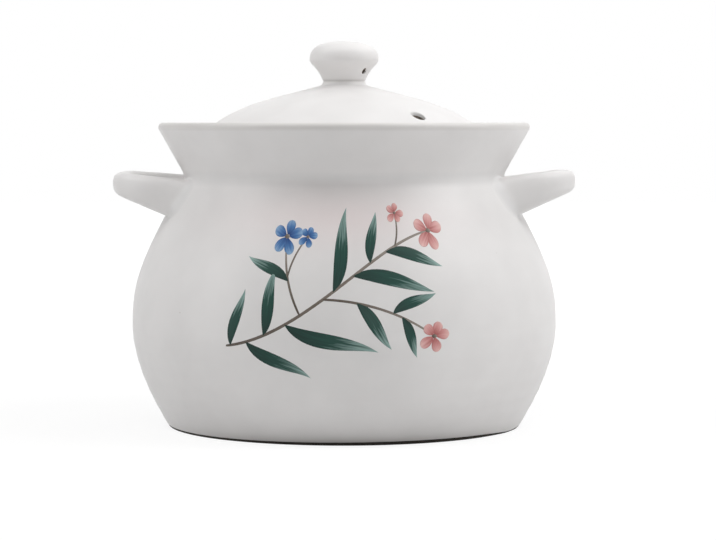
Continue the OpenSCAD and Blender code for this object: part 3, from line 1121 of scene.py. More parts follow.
@dataclass(frozen=True)
class LoopHandle:
    """A pulled loop of clay, luted onto the shoulder and smoothed into it with a wet finger."""

    pot: PotBody
    side: Side
    handle_reach: float = 10.8
    handle_w: float = 74.0
    bar_t: float = 13.0
    bar_tip_h: float = 13.6
    bar_root_h: float = 25.8
    tip_lift: float = 4.4
    root_lift: float = 0.0
    root_flare: float = 4.0
    root_flare_l: float = 16.0
    left_roll: float = 1.0
    right_roll: float = -1.0
    left_droop: float = 2.0
    right_droop: float = 0.0
    plan_power: float = 3.2
    section_power: float = 2.6
    # Radius of the smoothed corner where the bar meets the wall, beside the bar and under it, how level a side of the
    # bar is where the one starts to take over from the other and where it has, and the corner's dip under the glaze
    side_luting: float = 5.0
    under_luting: float = 1.8
    luting_levels: tuple[float, float] = (0.2, 0.9)
    luting_dip: float = 0.015
    # How deep the hidden ends lie in the wall
    root_depth: float = 3.0
    # Depth of the shallow waves that pulling leaves along the bar, and the radians that each of the two runs through
    pull_wave: float = 0.35
    pull_runs: tuple[float, float] = (23.0, 41.0)
    path_steps: int = 4001
    stations: int = 480
    sides: int = 64
    bar_rows: int = 150
    corner_rows: int = 14

    @property
    def _tip_x(self) -> float:
        """How far out the bar's middle line reaches."""
        return self.pot.belly_r + self.handle_reach - self.bar_t / 2

    @property
    def _arm_y(self) -> float:
        """How far to either side the bar's middle line reaches."""
        return (self.handle_w - self.bar_t) / 2

    def _path(self) -> np.ndarray:
        """The bar's middle line in plan, a superellipse from inside the wall round the tip and back.

        Returns:
            Points (x, y), evenly spaced.
        """
        pot = self.pot
        start_x = math.sqrt((pot.neck_r - pot.wall_t) ** 2 - (self.handle_w / 2 + self.root_flare) ** 2)
        t = np.linspace(0, np.pi, self.path_steps)
        x = start_x + (self._tip_x - start_x) * squared(np.sin(t), self.plan_power)
        plan = np.stack([x, -self._arm_y * squared(np.cos(t), self.plan_power)], axis=-1)
        return points_along(plan, np.linspace(0, lengths_along(plan)[-1], self.stations))

    def _bar(self) -> tuple[np.ndarray, np.ndarray]:
        """The plain bar of the right handle, and the middle of each of its sections.

        A section is a superellipse, upright and square to the path. Its height and top change evenly with x, and its
        thickness swells with the square of the nearness to the wall. The pulled waves are a half and two quarter sines.

        Returns:
            Points, stations by sides, and one middle for each station.
        """
        pot, path = self.pot, self._path()
        x = path[:, 0]
        share = (x - pot.neck_r) / (self._tip_x - pot.neck_r)
        half_h = 0.5 * (self.bar_root_h + (self.bar_tip_h - self.bar_root_h) * share)
        mid_z = pot.neck_h + self.root_lift + (self.tip_lift - self.root_lift) * share - half_h
        flare_x = math.sqrt(pot.neck_r**2 - self._arm_y**2) + self.root_flare_l
        swell = self.root_flare * np.clip((flare_x - x) / self.root_flare_l, 0, 1) ** 2
        way = unit(np.gradient(path, axis=0))
        across = np.stack([way[:, 1], -way[:, 0], np.zeros(len(way))], axis=-1)
        a = np.linspace(0, 2 * np.pi, self.sides, endpoint=False)
        slow, fast = np.linspace(0, 1, self.stations)[:, None] * np.reshape(self.pull_runs, (2, 1, 1))
        wave = self.pull_wave * (0.5 + 0.25 * np.sin(slow + 2 * a) + 0.25 * np.sin(fast - a))
        wide = (self.bar_t / 2 + swell[:, None] - wave) * squared(np.cos(a), self.section_power)
        tall = (half_h[:, None] - 0.5 * wave) * squared(np.sin(a), self.section_power)
        middle = np.concatenate([path, mid_z[:, None]], axis=1)
        points = middle[:, None] + wide[..., None] * across[:, None] + tall[..., None] * UP
        return points, middle

    def _placed(self, points: np.ndarray) -> np.ndarray:
        """Sets the bar at its roll and droop about its pivot at the waist, and mirrors it to its side.

        Args:
            points: Points of the plain bar.

        Returns:
            The same points in place.
        """
        left = self.side is Side.LEFT
        roll, droop = (self.left_roll, self.left_droop) if left else (self.right_roll, self.right_droop)
        a, b = math.radians(roll), math.radians(droop)
        pivot = np.array([self.pot.neck_r, 0.0, self.pot.neck_h + self.tip_lift - self.bar_tip_h / 2])
        x, y, z = np.moveaxis(points - pivot, -1, 0)
        y, z = y * math.cos(a) - z * math.sin(a), y * math.sin(a) + z * math.cos(a)
        x, z = x * math.cos(b) + z * math.sin(b), z * math.cos(b) - x * math.sin(b)
        return (np.stack([x, y, z], axis=-1) + pivot) * [float(self.side), 1.0, 1.0]

    def _leaving(self, distance: np.ndarray, wanted: np.ndarray) -> np.ndarray:
        """Where each side of the bar last rises past wanted distances on its way from the first station to the tip.

        Args:
            distance: Distances from the wall, stations by sides.
            wanted: Distances looked for, steps by sides.

        Returns:
            Stations with their fractions, steps by sides.
        """
        half = distance[: len(distance) // 2]
        below = half[None] < wanted[:, None]
        last = np.where(below.any(axis=1), len(half) - 1 - np.argmax(below[:, ::-1], axis=1), 0)
        low, high = (np.take_along_axis(half, last + k, axis=0) for k in (0, 1))
        return last + np.clip((wanted - low) / np.maximum(high - low, TINY), 0, 1)

    def _rows(self, distance: np.ndarray, luting: np.ndarray) -> np.ndarray:
        """Stations of the finished rows, which follow the wall at both roots and are even between them.

        A row at angle b of a round corner of radius R lies R (1 - sin b) from the wall. One hidden row lies deep in it.

        Args:
            distance: Distances of the plain bar from the wall, stations by sides.
            luting: Radius of the round corner, stations by sides.

        Returns:
            Stations with their fractions, rows by sides.
        """
        b = np.linspace(np.pi / 2, 0, self.corner_rows)[:, None]
        hidden = np.full((1, self.sides), -self.root_depth)
        ends = []
        for far, radius in ((distance, luting), (distance[::-1], luting[::-1])):
            at_wall = self._leaving(far, np.zeros((1, self.sides)))
            corner = np.take_along_axis(radius, np.rint(at_wall).astype(int), axis=0)
            wanted = np.concatenate([hidden, corner * (1 - np.sin(b)) - self.luting_dip])
            ends.append(self._leaving(far, wanted))
        first, last = ends[0], len(distance) - 1 - ends[1]
        share = np.linspace(0, 1, self.bar_rows)[1:-1, None]
        return np.concatenate([first, first[-1] + share * (last[-1] - first[-1]), last[::-1]])

    def build(self) -> Shell:
        """Smooths the placed bar onto the pot and closes its hidden ends.

        A point at distance d from the wall moves along it by R - sqrt(R^2 - (R - d)^2), the outline of a round corner
        of radius R, and goes back to the distance it had, at most one depth in the wall, so that none shows inside.
        Glaze pools half way round the corner, by the product of its angle's sine and cosine.

        Returns:
            The closed handle.
        """
        bar, middle = (self._placed(p) for p in self._bar())
        spread = bar - middle[:, None]
        level = np.linalg.norm(unit(spread)[..., :2], axis=-1)
        luting = self.under_luting + (self.side_luting - self.under_luting) * smooth_step(*self.luting_levels, level)
        rows = self._rows(self.pot.beyond(bar.reshape(-1, 3))[0].reshape(level.shape), luting)
        low = np.clip(rows.astype(int), 0, len(bar) - 2)
        share, side = (rows - low)[..., None], np.arange(self.sides)
        bar, spread = (((1 - share) * v[low, side] + share * v[low + 1, side]).reshape(-1, 3) for v in (bar, spread))
        r = ((1 - share[..., 0]) * luting[low, side] + share[..., 0] * luting[low + 1, side]).reshape(-1)
        distance, out = self.pot.beyond(bar)
        d = np.clip(distance + self.luting_dip, 0, r)
        move = r - np.sqrt(r**2 - (r - d) ** 2)
        flat = bar + move[:, None] * unit(spread - (spread * out).sum(-1, keepdims=True) * out)
        for _ in range(2):
            now, out = self.pot.beyond(flat)
            flat = flat - np.where(move > 0, now - np.maximum(distance, -self.root_depth), 0)[:, None] * out
        ends = middle[[0, -1]]
        end_distance, end_out = self.pot.beyond(ends)
        ends = ends - np.minimum(end_distance + self.root_depth, 0)[:, None] * end_out
        shell = Shell()
        pooled = (1 - d / r) * (1 - move / r)
        numbers = shell.points(flat.reshape(rows.shape + (3,)), glaze_depth=pooled.reshape(rows.shape))
        shell.tube(numbers[:, ::-1] if self.side is Side.RIGHT else numbers, shell.points(ends))
        return shell

    def dress(self, shell: Shell, glaze: bpy.types.Material) -> bpy.types.Object:
        """Writes the handle with the pot's glaze."""
        name = self.side.name.lower()
        return settle(shell.write(f"handle_{name}_glazed", [glaze]), Body.POT, "pot_glaze", f"handle_{name}")


@dataclass(frozen=True)
class LidShell:
    """The domed lid with the flange that finds the throat, a fillet under the knob and a punched steam hole."""

    pot: PotBody
    lid_gap: float = 4.5
    flange_gap: float = 2.0
    lid_rise: float = 39.4
    lid_t: float = 6.0
    lid_edge_h: float = 5.0
    lid_edge_round: float = 3.0
    crown_slope: float = 15.9
    edge_slope: float = 45.0
    crown_pull: float = 0.32
    edge_pull: float = 0.41
    flange_h: float = 8.0
    flange_t: float = 5.0
    flange_round: float = 1.5
    steam_d: float = 8.0
    steam_inset: float = 8.4
    steam_dir: float = -52.0
    steam_edge: float = 0.7
    # How far the glaze ran down into the hole
    steam_run: float = 1.4
    knob_base_d: float = 24.8
    boss_h: float = 3.2
    boss_w: float = 4.8
    boss_pull: float = 0.75
    # Share of the fillet's width by which it leans out at the knob
    boss_lean: float = 0.125
    # Radius of the innermost ring of the grid, distance that its rows keep from the flange's corner, and its steps
    pole_r: float = 6.0
    corner_gap: float = 0.4
    dome_steps: int = 52
    boss_steps: int = 12
    # Places of the ceiling and of the dome among the runs of the profile
    ceiling_run: int = 1
    dome_run: int = 6

    @property
    def knob_seat_h(self) -> float:
        """Height of the knob's seat."""
        return self.pot.seat_h + self.lid_rise + self.boss_h

    @property
    def flange_in_r(self) -> float:
        """Inner radius of the flange."""
        return self.pot.throat_r - self.flange_gap - self.flange_t

    def _dome(self) -> np.ndarray:
        """The dome from its crown to its edge.

        Returns:
            The four pulls of its cubic.
        """
        pot = self.pot
        crown = np.array([self.knob_base_d / 2 + self.boss_w, pot.seat_h + self.lid_rise])
        edge = np.array([pot.seat_r - self.lid_gap - self.lid_edge_round, pot.seat_h + self.lid_edge_h])
        end = edge + self.lid_edge_round * lean_dir(self.edge_slope)
        reach = np.linalg.norm(end - crown)
        return np.array([
            crown,
            crown + self.crown_pull * reach * lean_out(self.crown_slope),
            end - self.edge_pull * reach * lean_out(self.edge_slope),
            end,
        ])

    def _runs(self) -> list[tuple[np.ndarray, Coat]]:
        """The profile from the middle of the underside, over the flange and the edge, and up the dome to the crown.

        Returns:
            The points of each run and what covers it.
        """
        pot, dome = self.pot, self._dome()
        lid_r, flange_r = pot.seat_r - self.lid_gap, pot.throat_r - self.flange_gap
        t = np.linspace(0, 1, self.dome_steps)
        ceiling = cubic(dome, t, self.lid_t)
        corner = np.array([self.flange_in_r, np.interp(self.flange_in_r, ceiling[:, 0], ceiling[:, 1])])
        ceiling = np.concatenate([ceiling[ceiling[:, 0] < self.flange_in_r - self.corner_gap], corner[None]])
        foot = pot.seat_h - self.flange_h + self.flange_round
        flange = np.concatenate([
            line(corner, [self.flange_in_r, foot], count=5)[:-1],
            arc([self.flange_in_r + self.flange_round, foot], self.flange_round, 180, 270, count=6),
            arc([flange_r - self.flange_round, foot], self.flange_round, -90, 0, count=6),
            line([flange_r, foot], [flange_r, pot.seat_h], count=4)[1:],
        ])
        under_edge = arc([lid_r - pot.ledge_round, pot.seat_h + pot.ledge_round], pot.ledge_round, -90, 0, count=6)
        edge_middle = np.array([lid_r - self.lid_edge_round, pot.seat_h + self.lid_edge_h])
        top_edge = arc(edge_middle, self.lid_edge_round, 0, 90 - self.edge_slope, count=8)
        base_r, seat = self.knob_base_d / 2, self.knob_seat_h
        boss = [
            dome[0],
            dome[0] - self.boss_pull * self.boss_w * lean_out(self.crown_slope),
            [base_r + self.boss_lean * self.boss_w, seat - self.boss_pull * self.boss_h],
            [base_r, seat],
        ]
        return [
            (line([self.pole_r, ceiling[0, 1]], ceiling[0], count=3), Coat.GLAZED),
            (ceiling, Coat.GLAZED),
            (flange, Coat.GLAZED),
            (line(flange[-1], under_edge[0], count=3), Coat.BARE),
            (under_edge, Coat.GLAZED),
            (top_edge, Coat.GLAZED),
            (cubic(dome[::-1], t), Coat.GLAZED),
            (cubic(boss, np.linspace(0, 1, self.boss_steps)), Coat.GLAZED),
            (line([base_r, seat], [self.pole_r, seat], count=3), Coat.GLAZED),
        ]

    def build(self) -> Shell:
        """Turns the profile and punches the steam hole straight down through it.

        The wall of the hole joins the ends of both faces, the lower one turned to where its points lie nearest.

        Returns:
            The closed lid.
        """
        profile = Profile.of_runs(self._runs())
        lathe = Lathe(profile, first=self.steam_dir - 180)
        steam_r = self.flange_in_r - self.steam_inset
        under, over = profile.rows_of(self.ceiling_run), profile.rows_of(self.dome_run)
        rows = np.arange(len(profile.points))
        low_row = np.interp(steam_r, profile.points[under, 0], rows[under])
        top_row = np.interp(-steam_r, -profile.points[over, 0], rows[over])
        top, low = (
            Punch(self.steam_d / 2, self.steam_edge, axis, float(row), lathe.turns / 2)
            for axis, row in ((UP, top_row), (-UP, low_row))
        )
        shell = Shell()
        numbers = shell.turn(
            lathe, tuple(profile.points[[0, -1], 1]), [top.window, low.window],
            glaze_depth=pooling(profile.points)[:, None],
        )
        upper, upper_at = top.cut(shell, lathe, numbers)
        lower, lower_at = low.cut(shell, lathe, numbers)
        lower, lower_at = lower[::-1], lower_at[::-1]
        turned = (np.arange(len(lower)) + np.arange(len(lower))[:, None]) % len(lower)
        best = turned[np.argmin(((lower_at[turned] - upper_at) ** 2).sum((1, 2)))]
        run = shell.points(upper_at - self.steam_run * UP, glaze_depth=np.array(top.thin))
        shell.skin(np.stack([upper, run]))
        # The bare clay below the glaze's run paints the shade inside the hole
        shell.skin(np.stack([run, lower[best]]), Coat.BARE)
        return shell

    def dress(self, shell: Shell, *coats: bpy.types.Material) -> bpy.types.Object:
        """Writes the lid with its glaze, its bare bearing face and the bare inside of its steam hole, which paints its
        shade.
        """
        return settle(shell.write("lid_shell_glazed", coats), Body.LID, "lid_glaze", "lid_shell")


@dataclass(frozen=True)
class Knob:
    """The hollow mushroom knob, thrown apart and luted onto the crown, with its firing vent."""

    lid: LidShell
    knob_d: float = 40.8
    knob_h: float = 23.8
    knob_wide_h: float = 13.2
    stem_lean: float = 18.0
    stem_pull: float = 0.68
    cap_under_pull: float = 0.26
    cap_side_pull: float = 0.94
    cap_top_pull: float = 0.35
    vent_d: float = 3.5
    vent_h: float = 6.2
    vent_dir: float = -38.0
    vent_edge: float = 0.5
    # How far the glaze ran into the vent
    vent_run: float = 0.7
    vent_depth: float = 6.0
    # How far the knob was pressed into the crown, the depth and height of the groove left around it, and the share and
    # height of the painted shade in the crease at its foot
    pressed: float = 0.4
    groove: float = 0.35
    groove_h: float = 1.4
    crease_shade: float = 0.55
    crease_shade_h: float = 2.0
    # Radius of the innermost ring of the grid, its steps, and half the size of the vent's window in it
    pole_r: float = 4.0
    stem_steps: int = 40
    cap_steps: int = 36
    turns: int = 160
    vent_window: int = 6
    # Place of the stem among the runs of the profile
    stem_run: int = 2

    def _runs(self) -> list[tuple[np.ndarray, Coat]]:
        """The profile from the middle of the base, out, up the stem and over the cap.

        Returns:
            The points of each run and what covers it.
        """
        base_r, seat = self.lid.knob_base_d / 2, self.lid.knob_seat_h
        r, wide, top = self.knob_d / 2, seat + self.knob_wide_h, seat + self.knob_h
        stem = [
            [base_r, seat],
            np.array([base_r, seat]) + self.stem_pull * self.knob_wide_h * lean_dir(self.stem_lean),
            [r, wide - self.cap_under_pull * self.knob_wide_h],
            [r, wide],
        ]
        cap = [[r, wide], [r, wide + self.cap_side_pull * (top - wide)], [self.cap_top_pull * r, top], [0.0, top]]
        rise = cubic(stem, np.linspace(0, 1, self.stem_steps))
        tuck = self.groove * (1 - smooth_step(seat, seat + self.groove_h, rise[:, 1]))
        rise = rise - np.stack([tuck, np.zeros_like(tuck)], axis=-1)
        foot = rise[0] - [0.0, self.pressed]
        return [
            (line([self.pole_r, foot[1]], foot, count=3), Coat.GLAZED),
            (line(foot, rise[0], count=2), Coat.GLAZED),
            (rise, Coat.GLAZED),
            (cubic(cap, np.linspace(0, 1, self.cap_steps)[:-1]), Coat.GLAZED),
        ]

    def build(self) -> Shell:
        """Turns the profile and drills the blind vent level into the stem.

        Returns:
            The closed knob.
        """
        profile = Profile.of_runs(self._runs())
        lathe = Lathe(profile, turns=self.turns, first=self.vent_dir - 180)
        seat = self.lid.knob_seat_h
        stem = profile.rows_of(self.stem_run)
        rows = np.arange(len(profile.points))
        row = np.interp(seat + self.vent_h, profile.points[stem, 1], rows[stem])
        a = math.radians(self.vent_dir)
        axis = np.array([math.cos(a), math.sin(a), 0.0])
        vent = Punch(self.vent_d / 2, self.vent_edge, axis, float(row), lathe.turns / 2, self.vent_window)
        # Painted shade in the crease where the knob meets the crown
        sponged = self.crease_shade * (1 - smooth_step(seat, seat + self.crease_shade_h, profile.points[:, 1]))
        shell = Shell()
        numbers = shell.turn(
            lathe, (float(profile.points[0, 1]), seat + self.knob_h), [vent.window],
            glaze_depth=pooling(profile.points)[:, None], sponged=sponged[:, None],
        )
        ring, at = vent.cut(shell, lathe, numbers)
        end = at - self.vent_depth * vent.axis
        run = shell.points(at - self.vent_run * vent.axis, glaze_depth=np.array(vent.thin))
        deep = shell.points(end)
        shell.skin(np.stack([ring, run]))
        # The bare clay below the glaze's run paints the shade inside the vent
        shell.skin(np.stack([run, deep]), Coat.BARE)
        shell.fan(deep, int(shell.points(end.mean(0)[None])[0]), True, Coat.BARE)
        return shell

    def dress(self, shell: Shell, *coats: bpy.types.Material) -> bpy.types.Object:
        """Writes the knob with its glaze and the bare inside of its vent, which paints the shade in it."""
        return settle(shell.write("lid_knob_glazed", coats), Body.LID, "lid_glaze", "lid_knob")


@dataclass(frozen=True)
class Stroke:
    """One touch of a loaded brush on the belly, in millimetres around it from the front and up from the table."""

    root: tuple[float, float]
    tip: tuple[float, float]
    width: float
    bow: float = 0.1
    sway: float = 0.1
    rise: float = 0.8
    fall: float = 1.1

    def path(self, t: np.ndarray) -> np.ndarray:
        """The stroke's middle line: a cubic, its inner pulls moved left by bow and sway times its length.

        Args:
            t: Places along the stroke, from 0 to 1.

        Returns:
            Points (s, z), one row each.
        """
        a, b = np.array(self.root), np.array(self.tip)
        left = np.array([a[1] - b[1], b[0] - a[0]])
        return cubic([a, a + (b - a) / 3 + self.bow * left, a + 2 * (b - a) / 3 + self.sway * left, b], t)

    def half_width(self, t: np.ndarray) -> np.ndarray:
        """Half the width: t to the power rise times (1-t) to the power fall, over the most that this reaches.

        Args:
            t: Places along the stroke, from 0 to 1.

        Returns:
            Half the width at each place.
        """
        peak = self.rise / (self.rise + self.fall)
        most = peak**self.rise * (1 - peak) ** self.fall
        return self.width / 2 * t**self.rise * (1 - t) ** self.fall / most


@dataclass(frozen=True)
class Shoot:
    """A leaf or twig that springs from a stem, turned to the left of the stem's way there."""

    stem: int
    at: float
    turn: float
    length: float
    width: float
    bow: float = 0.1
    sway: float = 0.04
    rise: float = 0.8
    fall: float = 1.1
    # Part of the stem over which its way is taken
    way_step: float = 0.01

    def grow(self, stems: Sequence[Stroke]) -> Stroke:
        """Finds the shoot's root and tip on its stem.

        Args:
            stems: The strokes that it may spring from.

        Returns:
            Its stroke.
        """
        root, ahead = stems[self.stem].path(np.array([self.at, self.at + self.way_step]))
        way = ahead - root
        a = math.atan2(way[1], way[0]) + math.radians(self.turn)
        tip = root + self.length * np.array([math.cos(a), math.sin(a)])
        return Stroke(tuple(root), tuple(tip), self.width, self.bow, self.sway, self.rise, self.fall)


@dataclass(frozen=True)
class Brushwork:
    """A freehand flowering spray on the front of the belly, in raised overglaze enamel."""

    pot: PotBody
    # How high the enamel stands on the glaze, how much more with each stroke, and how far its edges dip under the glaze
    lift: float = 0.1
    lift_step: float = 0.004
    sink: float = 0.12
    # Power of the width that gives a stroke its flat top
    flat_top: int = 6
    # Distance between the streaks of two strokes in the pattern, so that no two strokes have the same ones
    streak_shift: float = 61.0
    stations: int = 44
    sides: int = 20
    # Radians by which the first and the last station stay clear of the ends
    end_gap: float = 0.02
    petals: int = 5
    # Unevenness of a petal's direction in radians, of its length and of its bow
    petal_turn: float = 0.18
    petal_lengths: tuple[float, float] = (0.88, 1.1)
    petal_bow: float = 0.08
    # Root and width of a petal, and half the length and the width of a heart, as shares of a petal's length
    petal_root: float = 0.08
    petal_width: float = 0.7
    heart_half: float = 0.17
    heart_width: float = 0.3
    # Rise and fall of a petal and of a heart
    petal_form: tuple[float, float] = (0.85, 0.5)
    heart_form: tuple[float, float] = (0.5, 0.5)
    green: BrushEnamel = BrushEnamel("green_overglaze_enamel", "#0D2C26", "#174239", "#98B5AF", "#0C2822")
    brown: BrushEnamel = BrushEnamel("umber_overglaze_enamel", "#5C534B", "#7A7067", "#9C938A", "#514840")
    blue: BrushEnamel = BrushEnamel("blue_overglaze_enamel", "#22467F", "#4876AE", "#8CAED0", "#1E3D74")
    coral: BrushEnamel = BrushEnamel("coral_overglaze_enamel", "#B06462", "#D49693", "#E8BDB9", "#AC6663")
    main_stem: Stroke = Stroke((-68, 56), (56, 119), 2.0, -0.12, 0.1, 0.1, 0.2)
    twigs: tuple[Shoot, ...] = (
        Shoot(0, 0.34, 72, 44, 1.5, 0.08, 0.08, 0.1, 0.2),
        Shoot(0, 0.45, -54, 66, 1.6, 0.1, 0.1, 0.1, 0.2),
        Shoot(1, 0.5, -40, 24, 1.2, 0.1, 0.1, 0.1, 0.2),
        Shoot(0, 0.82, 56, 18, 1.2, -0.1, -0.1, 0.1, 0.2),
    )
    leaves: tuple[Shoot, ...] = (
        Shoot(0, 0.02, 66, 32, 7.0, 0.1, -0.05),
        Shoot(0, 0.09, -44, 42, 8.2, -0.12, 0.06),
        Shoot(0, 0.17, 58, 38, 8.0, -0.06, 0.1),
        Shoot(0, 0.27, -46, 54, 9.4, -0.13, 0.04),
        Shoot(0, 0.5, 44, 46, 9.0, -0.1, 0.06),
        Shoot(0, 0.6, -46, 48, 9.0, 0.12, 0.02),
        Shoot(0, 0.69, 46, 28, 7.0, 0.12, 0.0),
        Shoot(0, 0.77, -42, 36, 7.6, 0.14, 0.02),
        Shoot(1, 0.45, 48, 30, 6.8, -0.12, 0.04),
        Shoot(2, 0.28, -42, 32, 7.8, 0.1, -0.04),
        Shoot(2, 0.6, 44, 28, 6.8, 0.14, -0.02),
        Shoot(2, 0.68, -44, 24, 6.4, 0.12, -0.04),
    )
    # Stem that each flower ends, and the length of its petals
    blue_flowers: tuple[tuple[int, float], ...] = ((1, 9.5), (3, 6.0))
    coral_flowers: tuple[tuple[int, float], ...] = ((0, 10.0), (2, 9.0), (4, 6.0))

    def _stems(self) -> list[Stroke]:
        """The main stem and the twigs, each of which may spring from one before it.

        Returns:
            One stroke for each.
        """
        stems = [self.main_stem]
        for twig in self.twigs:
            stems.append(twig.grow(stems))
        return stems

    def _petals(self, flowers: Sequence[tuple[int, float]], stems: Sequence[Stroke]) -> list[Stroke]:
        """The petals of flowers, evenly round the end of their stem with a little of the hand's unevenness.

        Args:
            flowers: Stem and petal length of each flower.
            stems: The stems.

        Returns:
            One stroke for each petal.
        """
        chance = np.random.default_rng(SEED)
        made = []
        for stem, long in flowers:
            middle = np.array(stems[stem].tip)
            start = chance.uniform(0, 2 * math.pi)
            for k in range(self.petals):
                a = start + 2 * math.pi * k / self.petals + chance.uniform(-self.petal_turn, self.petal_turn)
                way = np.array([math.cos(a), math.sin(a)])
                root = middle + self.petal_root * long * way
                tip = middle + chance.uniform(*self.petal_lengths) * long * way
                bow = chance.uniform(-self.petal_bow, self.petal_bow)
                made.append(Stroke(tuple(root), tuple(tip), self.petal_width * long, bow, bow, *self.petal_form))
        return made

    def _hearts(self, stems: Sequence[Stroke]) -> list[Stroke]:
        """A small level dab in the middle of each flower.

        Args:
            stems: The stems.

        Returns:
            One stroke for each flower.
        """
        made = []
        for stem, long in self.blue_flowers + self.coral_flowers:
            s, z = stems[stem].tip
            half = self.heart_half * long
            made.append(Stroke((s - half, z), (s + half, z), self.heart_width * long, 0.0, 0.0, *self.heart_form))
        return made

    def _lay(self, shell: Shell, stroke: Stroke, number: int) -> None:
        """Lays one stroke on the belly as a thin closed lens.

        Its section is flat on top, at the lift times (1 - u^6) across its width u, and dips under the glaze at its
        edges. A place s around and z up lies at (R + h)(sin(s / belly), -cos(s / belly)), R the belly's radius at z.

        Args:
            shell: Takes the stroke.
            stroke: The stroke.
            number: Its place in the order of painting, which sets its height and its streaks.
        """
        t = 0.5 - 0.5 * np.cos(np.linspace(self.end_gap, np.pi - self.end_gap, self.stations))
        middle, half = stroke.path(t), stroke.half_width(t)
        way = unit(np.gradient(middle, axis=0))
        a = np.linspace(0, 2 * np.pi, self.sides, endpoint=False)
        u = np.cos(a)
        left = np.stack([-way[:, 1], way[:, 0]], axis=-1)
        place = middle[:, None] + (half[:, None] * u)[..., None] * left[:, None]
        top = self.lift + self.lift_step * number + self.sink
        h = np.where(np.sin(a) > SAME, top * (1 - u**self.flat_top), 0.0) - self.sink
        end_t = np.array([0.0, 1.0])
        ends = self._on_belly(stroke.path(end_t), np.full(2, -self.sink))
        run = lengths_along(middle)
        shift = self.streak_shift * number
        brush = np.stack(np.broadcast_arrays(run[:, None], half[:, None] * u, shift), axis=-1)
        numbers = shell.points(self._on_belly(place, h), along=t[:, None], across=np.abs(u), brush=brush)
        brush = np.array([[0.0, 0.0, shift], [run[-1], 0.0, shift]])
        shell.tube(numbers, shell.points(ends, along=end_t, brush=brush))

    def _on_belly(self, place: np.ndarray, height: np.ndarray) -> np.ndarray:
        """Points on the belly.

        Args:
            place: Places (s, z), around the belly and up.
            height: Heights above the glaze.

        Returns:
            Points (x, y, z), in the layout of place.
        """
        turn = place[..., 0] / self.pot.belly_r
        r = self.pot.radius_at(place[..., 1]) + height
        return np.stack([r * np.sin(turn), -r * np.cos(turn), place[..., 1]], axis=-1)

    def build(self) -> dict[str, tuple[Shell, BrushEnamel]]:
        """Lays the strokes of each colour, stems first.

        Returns:
            For each piece's name, its strokes and its enamel.
        """
        stems = self._stems()
        colours = {
            "painted_stems": (stems, self.brown),
            "painted_leaves": ([leaf.grow(stems) for leaf in self.leaves], self.green),
            "painted_blue_petals": (self._petals(self.blue_flowers, stems), self.blue),
            "painted_coral_petals": (self._petals(self.coral_flowers, stems), self.coral),
            "painted_flower_hearts": (self._hearts(stems), self.brown),
        }
        made, number = {}, 0
        for name, (strokes, enamel) in colours.items():
            shell = Shell()
            for stroke in strokes:
                self._lay(shell, stroke, number)
                number += 1
            made[name] = (shell, enamel)
        return made

    def dress(self, made: dict[str, tuple[Shell, BrushEnamel]]) -> list[bpy.types.Object]:
        """Writes each colour's strokes with its enamel.

        Args:
            made: For each piece's name, its strokes and its enamel.

        Returns:
            The pieces.
        """
        return [
            settle(shell.write(name, [enamel.material()]), Body.POT, "pot_glaze")
            for name, (shell, enamel) in made.items()
        ]


@dataclass(frozen=True)
class Softbox:
    """A square soft lamp that faces the pot."""

    name: str
    place: tuple[float, float, float]
    side: float
    watts: float
    aim: tuple[float, float, float] = (0.0, 0.0, 0.1)

    def build(self) -> bpy.types.Object:
        """Hangs the lamp, its face turned to its aim.

        Returns:
            The lamp.
        """
        lamp = bpy.data.lights.new(self.name, "AREA")
        lamp.shape, lamp.size, lamp.energy = "SQUARE", self.side, self.watts
        made = bpy.data.objects.new(self.name, lamp)
        made.location = self.place
        made.rotation_euler = (Vector(self.aim) - Vector(self.place)).to_track_quat("-Z", "Y").to_euler()
        bpy.context.scene.collection.objects.link(made)
        return made


